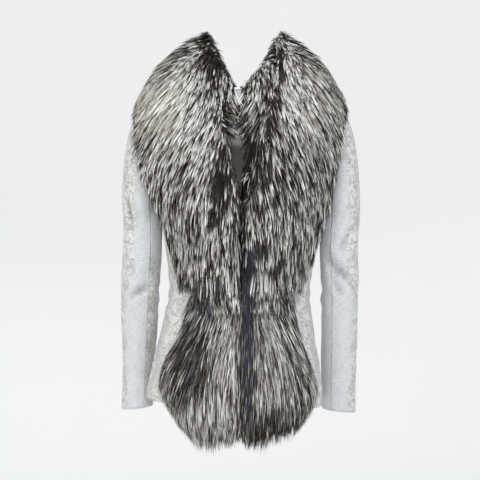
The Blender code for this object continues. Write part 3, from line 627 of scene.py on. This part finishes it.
def creased(points, turn, node):
    """How far each point moves outwards, in millimetres, for soft troughs with low ridges beside them."""
    radius, creases = (BODY_HALF + BODY_DEPTH) / 2, BODY_CREASES
    if node.startswith("sleeve"):
        radius, creases = SLEEVE_RADIUS, SLEEVE_CREASES + OWN_CREASES[side_of(node)]
    shift = LEFT_SHIFT if node.endswith("left") else OTHER_SHIFT
    rough = np.array([noise.noise(Vector(p) * ROUGH.scale + Vector((shift, 0, 0))) for p in points])
    fine = np.array([noise.noise(Vector(p) * FINE.scale + Vector((0, shift, 0))) for p in points])
    place = np.stack([np.radians(turn) * radius, -points[:, 2] / MM], 1)
    total = rough * ROUGH.high + fine * FINE.high
    for crease in creases:
        start = np.array([math.radians(crease.turn1) * radius, crease.drop1])
        end = np.array([math.radians(crease.turn2) * radius, crease.drop2])
        run = end - start
        share = ((place - start) @ run) / (run @ run)
        held = np.clip(share, 0, 1)
        gap = np.linalg.norm(place - start - held[:, None] * run, axis=1) / crease.wide
        fade = np.sin(np.clip(held, CREASE_END, 1 - CREASE_END) * math.pi) ** 0.5
        ridge = RIDGE_SHARE * np.exp(-((gap - RIDGE_AT) ** 2) * RIDGE_NARROW)
        total -= crease.deep * fade * (1 + UNEVEN * rough) * (np.exp(-gap * gap) - ridge)
    return total


def brocade_share(turn, points, node):
    """How much of the flower figure shows: side panels and outer sleeve edges, not the plain middles."""
    drop = -points[:, 2] / MM
    if node == "sleeve_under_left":
        return np.clip((drop - UNDER_PLAIN) / UNDER_FADE, 0, 1)
    if node.startswith("sleeve"):
        reach = np.interp(drop, [row.drop for row in SLEEVE_FIGURE], [row.turn for row in SLEEVE_FIGURE])
        away = np.abs(((turn + 180) % 360) - 180)
        ragged = np.array([noise.noise(Vector(p) * FIGURE_EDGE.scale) for p in points]) * FIGURE_EDGE.high
        return np.clip((reach + ragged - away) / FIGURE_FADE + 0.5, 0, 1)
    if node == "back":
        return np.clip((np.abs(turn - 90) - BACK_PLAIN) / BACK_FADE, 0, 1)
    return np.ones(len(points))


def carry(mesh, name, values):
    """Gives each point of a mesh a value."""
    mesh.attributes.new(name, "FLOAT", "POINT").data.foreach_set("value", values.astype(np.float32))


def cloth_panel(node):
    """One panel of the jacket: its solid's wall, smoothed, creased and lined."""
    source = merged_copy(node)
    crease = source.edges.layers.float.new("crease_edge")
    for edge in source.edges:
        if len(edge.link_faces) == 2 and edge.calc_face_angle() > SHARP:
            edge[crease] = 1.0
    mesh = bpy.data.meshes.new(f"draft_{node}")
    source.to_mesh(mesh)
    source.free()
    draft = linked(mesh, f"draft_{node}")
    smooth = draft.modifiers.new("smooth", "SUBSURF")
    smooth.levels = smooth.render_levels = SMOOTHING
    graph = bpy.context.evaluated_depsgraph_get()
    cloth = bpy.data.meshes.new_from_object(draft.evaluated_get(graph))
    bpy.data.objects.remove(draft, do_unlink=True)
    cloth.name = f"cloth_{node}"

    points = np.empty(len(cloth.vertices) * 3)
    cloth.vertices.foreach_get("co", points)
    points = points.reshape(-1, 3)
    turn, flat, out = unrolled(points, node)
    settled = np.clip((-points[:, 2] / MM - SETTLE_DROP) / SETTLE_OVER, 0, 1)
    move = creased(points, turn, node) * settled
    points += out * (move * MM)[:, None]
    cloth.vertices.foreach_set("co", points.ravel())
    # how deep each point lies in a crease, for the shade painted into its hollows
    carry(cloth, "fold", np.clip((-move - FOLD_FROM) / (FOLD_FULL - FOLD_FROM), 0, 1))
    carry(cloth, "brocade", brocade_share(turn, points, node))
    corners = np.empty(len(cloth.loops), dtype=np.int32)
    cloth.loops.foreach_get("vertex_index", corners)
    uv = cloth.uv_layers.new(name="Cloth")
    uv.data.foreach_set("uv", (flat[corners] * MM).astype(np.float32).ravel())

    cloth.materials.clear()
    for maker in (woven_wool_silk_jacquard, woven_viscose_lining_satin, woven_viscose_neck_satin_painted_light):
        cloth.materials.append(finish(maker))
    for face in cloth.polygons:
        inward = Vector(out[face.vertices[0]]).dot(face.normal) < INWARD
        # the back's lining above that edge gets the pale satin: painted light on the lining
        facing = node == "back" and face.center.z > NECK_PAINTED_LIGHT_LOW * MM
        face.material_index = (2 if facing else 1) if inward else 0
    cloth.shade_smooth()
    cloth.set_sharp_from_angle(angle=SHARP)
    sharp = np.empty(len(cloth.edges), dtype=bool)
    cloth.attributes["sharp_edge"].data.foreach_get("value", sharp)
    ends = np.empty(len(cloth.edges) * 2, dtype=np.int32)
    cloth.edges.foreach_get("vertices", ends)
    border = np.zeros(len(points))
    border[ends.reshape(-1, 2)[sharp].ravel()] = 1.0
    carry(cloth, "seam", border)
    piece = placed(cloth, cloth.name, node)


# ---------------------------------------------------------------- fur


def triangles(node):
    """The corners of each triangle of a CAD node."""
    bm = bmesh.new()
    bm.from_mesh(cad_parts[node].data)
    bmesh.ops.remove_doubles(bm, verts=bm.verts, dist=MERGE)
    bmesh.ops.triangulate(bm, faces=bm.faces)
    corners = [tuple(vert.co.copy() for vert in face.verts) for face in bm.faces]
    bm.free()
    return corners


def tree_of(corners):
    """A search tree over triangles."""
    flat = [point for face in corners for point in face]
    return BVHTree.FromPolygons(flat, [(i, i + 1, i + 2) for i in range(0, len(flat), 3)])


def cloth_tree():
    """A search tree over all the cloth's solids."""
    nodes = [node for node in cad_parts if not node.startswith("fur")]
    return tree_of([face for node in nodes for face in triangles(node)])


def hairy_faces(word, cloth):
    """The faces of one side's collar and front that carry hair, as a search tree, with the corners
    and the node of each; then the undersides of their rims, as a second tree."""
    corners, owners, rims = [], [], []
    for node in (f"fur_collar_{word}", f"fur_front_{word}"):
        for a, b, c in triangles(node):
            middle = (a + b + c) / 3
            normal = (b - a).cross(c - a)
            if normal.length < SLIVER:
                continue
            height = cloth.find_nearest(middle)[3]
            normal.normalize()
            if height <= UNDERSIDE * MM:
                continue
            if normal.z < -DOWNWARDS:
                rims.append((a, b, c))
            elif not (abs(middle.x) < AT_MIDDLE * MM and abs(normal.x) > SIDEWAYS):
                corners.append((a, b, c))
                owners.append(node)
    return tree_of(corners), corners, owners, tree_of(rims)


def fold_at(word, z):
    """Distance of the collar's fold line from the middle at this height."""
    return at_height(FOLD_LINE, z, word)


def to_neck(point):
    """The level direction from a point to the middle of the neck."""
    return Vector((NECK_MIDDLE[0] - point.x, NECK_MIDDLE[1] - point.y, 0)).normalized()


def is_inside(word, point, normal):
    """Whether a point of the fur lies on the neck's side of the fold line."""
    if point.z < LIP_LOW:
        return False
    facing = normal.dot(to_neck(point))
    if point.y > LIP_FRONT:
        return facing > LIP_FACING
    return SIDES[word] * point.x < fold_at(word, point.z) and facing > FOLD_FACING


def in_neck_gap(word, point):
    """Whether a point lies where the pale satin inside the back of the neck shows between the collar's edges.
    """
    bottom, top = NECK_GAP_HEIGHTS
    share = (top - point.z / MM) / (top - bottom)
    if point.y > 0 or not 0 < share < 1:
        return False
    upper, lower = NECK_GAP[word]
    low, high = (start + (end - start) * share for start, end in zip(upper, lower))
    return low < point.x / MM < high


def at_meeting(point):
    """Whether a point lies where the hair of both collar edges meets."""
    near = abs(point.x - NECK_MIDDLE[0]) < MEETING_HALF and point.y < MEETING_FRONT
    return near and MEETING[0] < point.z / MM < MEETING[1]


def lie_of(word, owner, inside, point, normal):
    """The direction of the hair at a point: down, outwards or inwards, along the surface."""
    side = SIDES[word]
    wander = sum(ripple.high * noise.noise(point * ripple.scale) for ripple in WANDER)
    if inside:
        flow = to_neck(point) * LIP_FLOW
        flow += Vector((0, 0, -1))
        flow.x += LIP_WANDER * wander
    else:
        collar = owner.startswith("fur_collar")
        rows = COLLAR_LIE if collar else FRONT_LIE
        inner, outer = (at_height(rows, point.z, column, 1) for column in ("inner", "outer"))
        edge = at_height(rows, point.z, "edge")
        start = fold_at(word, point.z) if collar and point.y < 0 else 0.0
        share = min(max((side * point.x - start) / max(edge - start, LIE_SPAN), 0), 1)
        sweep = COLLAR_SWEEP[word] if collar else 1.0
        angle = math.radians((inner + (outer - inner) * share) * sweep + wander)
        flow = Vector((side * math.sin(angle), 0, -math.cos(angle)))
        if point.z > 0 and point.y > 0:
            flow.y += NAPE_LEAN
    flow -= normal * flow.dot(normal)
    return flow.normalized() if flow.length > LEAST_FLOW else Vector((0, 0, -1))


def lock_path(word, tip, normal, owner, inside, length, tree, cloth, rng):
    """Points and normals from a lock's root to its tip. The root lies upstream and deeper."""
    step = length / STEP_COUNT
    here, facing = tip.copy(), normal.copy()
    course, normals = [here.copy()], [facing.copy()]
    for _ in range(STEP_COUNT):
        flow = lie_of(word, owner, inside, here, facing)
        there = here - flow * step
        near, near_normal, _, gap = tree.find_nearest(there)
        if gap < HOLD_SHARE * step + HOLD_REACH or there.z > PEAKS:
            there = near
            blend = facing * (1 - TURN_SHARE) + near_normal * TURN_SHARE
            facing = blend.normalized() if blend.length > LEAST_TURN else facing
        here = there
        course.append(here.copy())
        normals.append(facing.copy())
    course.reverse()
    normals.reverse()
    course, normals = np.array(course), np.array(normals)
    deep = min(ROOT_DROP * MM, ROOT_SHARE * cloth.find_nearest(Vector(course[0]))[3])
    share = np.linspace(0, 1, len(course))
    lift = (rng.uniform(*LIFT) + (rng.uniform(0, STANDING) if rng.random() < STANDING_SHARE else 0)) * MM
    sink = deep * (1 - share) ** ROOT_DIP - lift * share
    course = course - normals * sink[:, None]
    at = STATIONS * (len(course) - 1)
    low = np.minimum(at.astype(int), len(course) - 2)
    part = (at - low)[:, None]
    return (
        course[low] * (1 - part) + course[low + 1] * part,
        normals[low] * (1 - part) + normals[low + 1] * part,
    )


def kind_of(point, owner, inside, rng):
    """The kind of hair of one lock, by chance and by where it is, and how light it is."""
    x, z = point.x / MM, point.z / MM
    shade, blue = 0.0, 0.0
    for patch in PATCHES if point.y <= 0 else ():
        near = math.exp(-(((x - patch.x) / patch.wide) ** 2) - ((z - patch.z) / patch.tall) ** 2)
        shade += patch.shade * near
        blue += patch.blue * near
    shade += CLOUD.high * noise.noise(point * CLOUD.scale) + rng.normal(SHADE_MEAN, SHADE_SPREAD)
    if inside:
        shade -= LIP_SHADE
    if rng.random() < blue * SLATE_SHARE:
        return SLATE, shade
    outer = owner.startswith("fur_collar") and abs(x) > SHOULDER_OUT and z > SHOULDER_LOW
    if shade < DARK_BELOW:
        chance = rng.random()
        if chance < STREAK_SHARE:
            return BANDED, STREAK_SHADE
        return (BROWN if chance < STREAK_SHARE + BROWN_SHARE else DARK), shade
    if outer and rng.random() < SMOKE_SHOULDER:
        return SMOKE, shade
    if owner.startswith("fur_front") and rng.random() < SMOKE_FRONT:
        return SMOKE, shade
    return (BANDED, shade) if shade < SILVER_FROM else (SILVER, shade)


def pick_tips(part, count, corners, owners, rims, low, rng, facing=-1.0):
    """Random tips of locks, even over the faces of one part above a height but denser at its rims,
    with their normals. facing is how far a face must look to the front."""
    chosen = []
    weight = []
    for face, owner in zip(corners, owners):
        middle = (face[0] + face[1] + face[2]) / 3
        normal = (face[1] - face[0]).cross(face[2] - face[0])
        if owner.startswith(part) and low < middle.z and -normal.normalized().y > facing:
            chosen.append((face, owner))
            ending = END_SHARE[part] if rims.find_nearest(middle)[3] < END_REACH[part] * MM else 1.0
            weight.append(normal.length * (1.0 if middle.y < 0 else BEHIND_SHARE) * ending)
    weight = np.array(weight)
    for pick in rng.choice(len(chosen), size=count, p=weight / weight.sum()):
        (a, b, c), owner = chosen[pick]
        u, v = rng.random(2)
        if u + v > 1:
            u, v = 1 - u, 1 - v
        yield a + (b - a) * u + (c - a) * v, (b - a).cross(c - a).normalized(), owner


def grow_locks(word, count_collar, count_front):
    """All the locks of one side, as arrays by the piece that they belong to."""
    rng = np.random.default_rng(SEEDS[word])
    sizes = bpy.context.scene.jacket_fur
    cloth = cloth_tree()
    tree, corners, owners, rims = hairy_faces(word, cloth)
    groups = {}
    collar_top, front_top = (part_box(f"{part}_{word}")[1][2] for part in ("fur_collar", "fur_front"))

    def grow(part, tips, length_of, hanging=False):
        for tip, normal, owner in tips:
            if in_neck_gap(word, tip):
                continue
            inside = part == "fur_collar" and not hanging and is_inside(word, tip, normal)
            length = length_of(tip, inside) * rng.uniform(*LENGTHS)
            owner = "fur_collar" if hanging else owner
            path, normals = lock_path(word, tip, normal, owner, inside, length, tree, cloth, rng)
            if hanging:
                path += normals * (STATIONS * rng.uniform(*OVERHANG_LIFT) * MM)[:, None]
            elif at_meeting(tip):
                reach = rng.uniform(*MEETING_SHARES) * MEETING_REACH * MM
                path[:, 0] -= SIDES[word] * reach * STATIONS ** MEETING_BEND
            if rims.find_nearest(tip)[3] < RIM_REACH * MM:
                ending = path[-1] - path[-2]
                ending *= rng.uniform(*FRINGE_SHARES) * FRINGE * MM / max(np.linalg.norm(ending), TINY)
                ending -= normals[-1] * rng.uniform(0, RIM_CURL) * MM
                path += ending * (STATIONS ** TIP_BEND)[:, None]
            elif tip.z > collar_top - PEAK_REACH:
                path[:, 2] += rng.uniform(0, PEAK_FRINGE) * MM * STATIONS ** TIP_BEND
            kind, shade = kind_of(tip, part, inside, rng)
            name = f"{part}_{word}"
            if part == "fur_collar":
                name = f"fur_chest_{word}" if tip.y < CHEST_FRONT else f"fur_shoulder_{word}"
            groups.setdefault(name, []).append((path, normals, kind, shade))

    def collar_length(tip, inside):
        if inside:
            return sizes.lip_hair
        return sizes.collar_hair * (PEAK_LENGTH if tip.z > PEAK_FROM else 1.0)

    faces = (corners, owners, rims)
    grow("fur_collar", pick_tips("fur_collar", count_collar, *faces, -1, rng), collar_length)
    overhang = round(count_collar * OVERHANG_SHARE)
    low = front_top - OVERHANG * MM
    hanging = pick_tips("fur_front", overhang, *faces, low, rng, facing=OVERHANG_FACING)
    grow("fur_collar", hanging, lambda tip, inside: sizes.collar_hair * OVERHANG_LENGTH, hanging=True)
    front = pick_tips("fur_front", count_front, *faces, -1, rng)
    grow("fur_front", front, lambda tip, inside: sizes.front_hair)
    return groups


def unit(rows):
    """Vectors of length one along some vectors."""
    return rows / np.maximum(np.linalg.norm(rows, axis=-1), TINY)[..., None]


def strands(name, locks, node, per_lock):
    """One piece of fur: every lock as a bundle of thin tapering strands that meet at its tip."""
    rng = np.random.default_rng(len(locks))
    sizes = bpy.context.scene.jacket_fur
    path, normal, kind, shade = (np.repeat(np.array(column), per_lock, 0) for column in zip(*locks))
    count = len(path)
    front = node.startswith("fur_front")
    stray = rng.random(count) < (STRAY_FRONT if front else STRAY_COLLAR)
    paler = rng.choice([BANDED, SILVER, SMOKE, DARK], count)
    darker = rng.choice([DARK, BROWN, BROWN, SMOKE], count)
    kind = np.where(stray, np.where(shade < STRAYS_DARK_BELOW, darker, paler), kind)
    normal, along = unit(normal), unit(np.gradient(path, axis=1))
    across = unit(np.cross(along, normal))
    up = np.cross(across, along)

    reach = rng.uniform(*(REACH_FRONT if front else REACH_COLLAR), count)
    path = path[:, :1] + (path - path[:, :1]) * reach[:, None, None]
    tip_share = TIP_FRONT if front else TIP_COLLAR
    spread = sizes.lock_width / 2 * ((1 - STATIONS) ** LOCK_TAPER * (1 - tip_share) + tip_share)
    turn, radius = rng.uniform(0, 2 * math.pi, count), np.sqrt(rng.random(count))
    loose = rng.random(count) < LOOSE_SHARE
    radius = np.where(loose, radius * LOOSE_REACH, radius)
    bend = rng.normal(0, BEND * MM, count)[:, None] * np.sin(STATIONS * math.pi)[None]
    sideways = (radius * np.cos(turn))[:, None] * spread[None] + bend
    upwards = (radius * np.sin(turn))[:, None] * spread[None] * LOCK_FLAT
    middle = path + across * sideways[..., None] + up * upwards[..., None]

    twist = rng.uniform(-TWIST, TWIST, count)[:, None, None]
    flat = across * np.cos(twist) + up * np.sin(twist)
    widths = rng.uniform(*HAIR_WIDTHS, count)[:, None, None]
    half = sizes.hair_width / 2 * HAIR_TAPER[None, :, None] * widths
    left, right = middle[:, :3] - flat[:, :3] * half, middle[:, :3] + flat[:, :3] * half
    rungs = np.stack([left, right], 2).reshape(count, 6, 3)
    points = np.concatenate([rungs, middle[:, 3:]], 1).reshape(-1, 3)

    # each hair is two four-sided faces and a three-sided one at its tip
    ribbon = np.array([0, 1, 3, 2, 2, 3, 5, 4, 4, 5, 6])
    corners = (np.arange(count)[:, None] * 7 + ribbon[None]).astype(np.int32).ravel()
    starts = (np.arange(count)[:, None] * 11 + np.array([[0, 4, 8]])).astype(np.int32).ravel()

    mesh = bpy.data.meshes.new(name)
    mesh.vertices.add(len(points))
    mesh.vertices.foreach_set("co", points.astype(np.float32).ravel())
    mesh.loops.add(len(corners))
    mesh.loops.foreach_set("vertex_index", corners)
    mesh.polygons.add(len(starts))
    mesh.polygons.foreach_set("loop_start", starts)
    tone = np.clip(TONE_MIDDLE + TONE_GAIN * shade + rng.normal(0, TONE_SPREAD, count), *TONE_ENDS)
    column = (kind + tone) / KINDS
    width = HAIR_MAP_WIDTH / 2
    map_points = np.empty((count, 7, 2))
    map_points[:, 0:6:2, 0] = (column - width)[:, None]
    map_points[:, 1:6:2, 0] = (column + width)[:, None]
    map_points[:, 6, 0] = column
    map_points[:, :, 1] = np.repeat(STATIONS, 2)[:7] * (1 - 2 * HAIR_MAP_MARGIN) + HAIR_MAP_MARGIN
    uv = mesh.uv_layers.new(name="OFBake")
    uv.data.foreach_set("uv", map_points.reshape(-1, 2)[corners].astype(np.float32).ravel())
    mesh.update()
    mesh.validate()
    mesh.shade_smooth()
    mesh.materials.append(finish(combed_silver_fox_guard_hair))
    placed(mesh, name, node)


def pelt(node, cloth):
    """The dense dark undercoat below the guard hair of one node."""
    bm = merged_copy(node)
    bm.normal_update()
    word = side_of(node)
    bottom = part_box(node)[0][2]
    moves = {}
    for point in bm.verts:
        height = cloth.find_nearest(point.co)[3]
        move = point.normal * min(PELT_DROP * MM, PELT_SHARE * max(height - PELT_CLEAR * MM, 0))
        if abs(point.co.x) < AT_MIDDLE * MM:
            move.x = 0
        move.z -= PELT_RISE[word] * MM * max(1 - (point.co.z - bottom) / (PELT_FADE * MM), 0)
        moves[point] = move
    for point, move in moves.items():
        point.co -= move
    mesh = bpy.data.meshes.new(f"undercoat_{node[4:]}")
    bm.to_mesh(mesh)
    bm.free()
    mesh.materials.append(finish(dressed_fox_undercoat))
    mesh.shade_smooth()
    placed(mesh, mesh.name, node)


# ---------------------------------------------------------------- settings, operators and panel


class JacketClothSettings(bpy.types.PropertyGroup):
    """Colours and repeat of the jacquard"""

    ground_light: FloatVectorProperty(
        name="Ground", description="Light tone of the plain cloth", subtype="COLOR", size=3, min=0, max=1,
        default=linear("#D9DBDC")[:3],
    )
    ground_dark: FloatVectorProperty(
        name="Ground shade", description="Darker tone of the plain cloth", subtype="COLOR", size=3, min=0,
        max=1, default=linear("#B8BBBE")[:3],
    )
    motif: FloatVectorProperty(
        name="Figure", description="Colour of the woven flowers and curls", subtype="COLOR", size=3, min=0,
        max=1, default=linear("#D0D1D0")[:3],
    )
    motif_shadow: FloatVectorProperty(
        name="Outline", description="Grey outline of the figures", subtype="COLOR", size=3, min=0, max=1,
        default=linear("#A09E97")[:3],
    )
    repeat_width: FloatProperty(
        name="Repeat width", description="Width of the woven repeat", unit="LENGTH", default=0.046, min=0.01
    )
    repeat_height: FloatProperty(
        name="Repeat height", description="Height of the woven repeat", unit="LENGTH", default=0.058, min=0.01
    )


class JacketFurSettings(bpy.types.PropertyGroup):
    """Sizes of the fur's hair"""

    collar_hair: FloatProperty(
        name="Collar hair", description="Length of a lock on the collar", unit="LENGTH", default=0.066,
        min=0.005,
    )
    front_hair: FloatProperty(
        name="Front hair", description="Length of a lock below the waist", unit="LENGTH", default=0.090,
        min=0.005,
    )
    lip_hair: FloatProperty(
        name="Neck hair", description="Length of a lock beside the neck", unit="LENGTH", default=0.030,
        min=0.005,
    )
    lock_width: FloatProperty(
        name="Lock width", description="Width of a lock at its root", unit="LENGTH", default=0.0040, min=0.001
    )
    hair_width: FloatProperty(
        name="Hair width", description="Width of one drawn hair", unit="LENGTH", default=0.0008, min=0.0001
    )
    collar_locks: IntProperty(
        name="Collar locks", description="Locks on each half of the collar", default=8300, min=1
    )
    front_locks: IntProperty(name="Front locks", description="Locks on each fur front", default=4400, min=1)
    hairs_per_lock: IntProperty(name="Hairs per lock", description="Hairs drawn in a lock", default=6, min=1)


class JacketStageSettings(bpy.types.PropertyGroup):
    """Light and floor"""

    floor_height: FloatProperty(
        name="Floor", description="Height of the studio floor", unit="LENGTH", default=FLOOR
    )
    key_power: FloatProperty(
        name="Key light", description="Power of the main softbox", unit="POWER", default=46.0, min=0
    )


class JACKET_OT_body(bpy.types.Operator):
    """Makes the back and both fronts"""

    bl_idname = "jacket.body"
    bl_label = "Body panels"

    def execute(self, context):
        for node in ("back", "front_left", "front_right"):
            cloth_panel(node)
        return {"FINISHED"}


class JACKET_OT_sleeves(bpy.types.Operator):
    """Makes the two pieces of each sleeve"""

    bl_idname = "jacket.sleeves"
    bl_label = "Sleeves"

    def execute(self, context):
        for word in SIDES:
            cloth_panel(f"sleeve_top_{word}")
            cloth_panel(f"sleeve_under_{word}")
        return {"FINISHED"}


class JACKET_OT_undercoat(bpy.types.Operator):
    """Makes the dark undercoat of the collar and the fur fronts"""

    bl_idname = "jacket.undercoat"
    bl_label = "Undercoat"

    def execute(self, context):
        cloth = cloth_tree()
        for word in SIDES:
            pelt(f"fur_collar_{word}", cloth)
            pelt(f"fur_front_{word}", cloth)
        return {"FINISHED"}


class JACKET_OT_guard_hair(bpy.types.Operator):
    """Makes the guard hair of the collar and the fur fronts"""

    bl_idname = "jacket.guard_hair"
    bl_label = "Guard hair"

    def execute(self, context):
        sizes = context.scene.jacket_fur
        for word in SIDES:
            groups = grow_locks(word, sizes.collar_locks, sizes.front_locks)
            for name, locks in sorted(groups.items()):
                node = f"fur_front_{word}" if name.startswith("fur_front") else f"fur_collar_{word}"
                strands(f"{name}_hair", locks, node, sizes.hairs_per_lock)
        return {"FINISHED"}


class JACKET_OT_stage(bpy.types.Operator):
    """Makes the studio floor, the lights and the camera"""

    bl_idname = "jacket.stage"
    bl_label = "Studio"

    def execute(self, context):
        sizes = context.scene.jacket_stage
        bm = bmesh.new()
        low = sizes.floor_height
        line = [bm.verts.new((0, 0, low)), bm.verts.new((0, FLOOR_REACH, low))]
        bm.edges.new(line)
        cove = bmesh.ops.spin(
            bm, geom=line[1:], cent=(0, FLOOR_REACH, low + COVE_RADIUS), axis=(1, 0, 0), angle=math.pi / 2,
            steps=COVE_STEPS,
        )
        rim = bmesh.ops.extrude_vert_indiv(bm, verts=cove["geom_last"])["verts"]
        bmesh.ops.translate(bm, verts=rim, vec=(0, 0, WALL_HEIGHT))
        bmesh.ops.spin(
            bm, geom=bm.verts[:] + bm.edges[:], cent=(0, 0, 0), axis=(0, 0, 1), angle=2 * math.pi,
            steps=ROUND_STEPS, use_merge=True,
        )
        bmesh.ops.remove_doubles(bm, verts=bm.verts, dist=MERGE)
        bmesh.ops.recalc_face_normals(bm, faces=bm.faces)
        mesh = bpy.data.meshes.new("studio_cove")
        bm.to_mesh(mesh)
        bm.free()
        mesh.materials.append(finish(rolled_matt_studio_paint))
        mesh.shade_smooth()
        linked(mesh, "studio_cove")

        world = bpy.data.worlds.new("studio_air")
        world.use_nodes = True
        air = world.node_tree.nodes["Background"]
        feed(world.node_tree, air, {"Color": linear("#F6F8FA"), "Strength": AIR_STRENGTH})
        context.scene.world = world
        context.scene.view_settings.view_transform = "Standard"
        for lamp in LAMPS:
            light = bpy.data.lights.new(lamp.name, "AREA")
            light.size = lamp.size
            light.energy = sizes.key_power * lamp.share
            light.color = linear(lamp.tint)[:3]
            aim = WALL_LAMP_AIM if lamp.name == "wall_softbox" else LAMP_AIM
            aimed(light, lamp.place, aim).visible_camera = False
        beam = bpy.data.lights.new("neck_spot", "SPOT")
        beam.energy = NECK_SPOT_POWER
        beam.spot_size = NECK_SPOT_CONE
        beam.spot_blend = NECK_SPOT_BLEND
        beam.color = linear("#F2FAFF")[:3]
        aimed(beam, NECK_SPOT_PLACE, NECK_SPOT_AIM)

        camera = linked(bpy.data.cameras.new("camera"), "camera")
        camera.data.lens = LENS
        camera.location = CAMERA_PLACE
        camera.rotation_euler = (math.pi / 2, 0, 0)
        context.scene.camera = camera
        return {"FINISHED"}


class JACKET_PT_panel(bpy.types.Panel):
    """Sizes, colours and makers of the jacket"""

    bl_idname = "JACKET_PT_panel"
    bl_label = "Fur-trimmed jacket"
    bl_space_type = "VIEW_3D"
    bl_region_type = "UI"
    bl_category = "Jacket"

    def draw(self, context):
        for group, operators in (
            (context.scene.jacket_cloth, ("jacket.body", "jacket.sleeves")),
            (context.scene.jacket_fur, ("jacket.undercoat", "jacket.guard_hair")),
            (context.scene.jacket_stage, ("jacket.stage",)),
        ):
            box = self.layout.box()
            for name in group.__annotations__:
                box.prop(group, name)
            for operator in operators:
                box.operator(operator)


CLASSES = (
    JacketClothSettings, JacketFurSettings, JacketStageSettings, JACKET_OT_body, JACKET_OT_sleeves,
    JACKET_OT_undercoat, JACKET_OT_guard_hair, JACKET_OT_stage, JACKET_PT_panel,
)


def register():
    for cls in CLASSES:
        bpy.utils.register_class(cls)
    bpy.types.Scene.jacket_cloth = PointerProperty(type=JacketClothSettings)
    bpy.types.Scene.jacket_fur = PointerProperty(type=JacketFurSettings)
    bpy.types.Scene.jacket_stage = PointerProperty(type=JacketStageSettings)


def unregister():
    del bpy.types.Scene.jacket_cloth
    del bpy.types.Scene.jacket_fur
    del bpy.types.Scene.jacket_stage
    for cls in reversed(CLASSES):
        bpy.utils.unregister_class(cls)


def main():
    register()
    bpy.ops.jacket.stage()
    bpy.ops.jacket.body()
    bpy.ops.jacket.sleeves()
    bpy.ops.jacket.undercoat()
    bpy.ops.jacket.guard_hair()


if __name__ == "__main__":
    main()
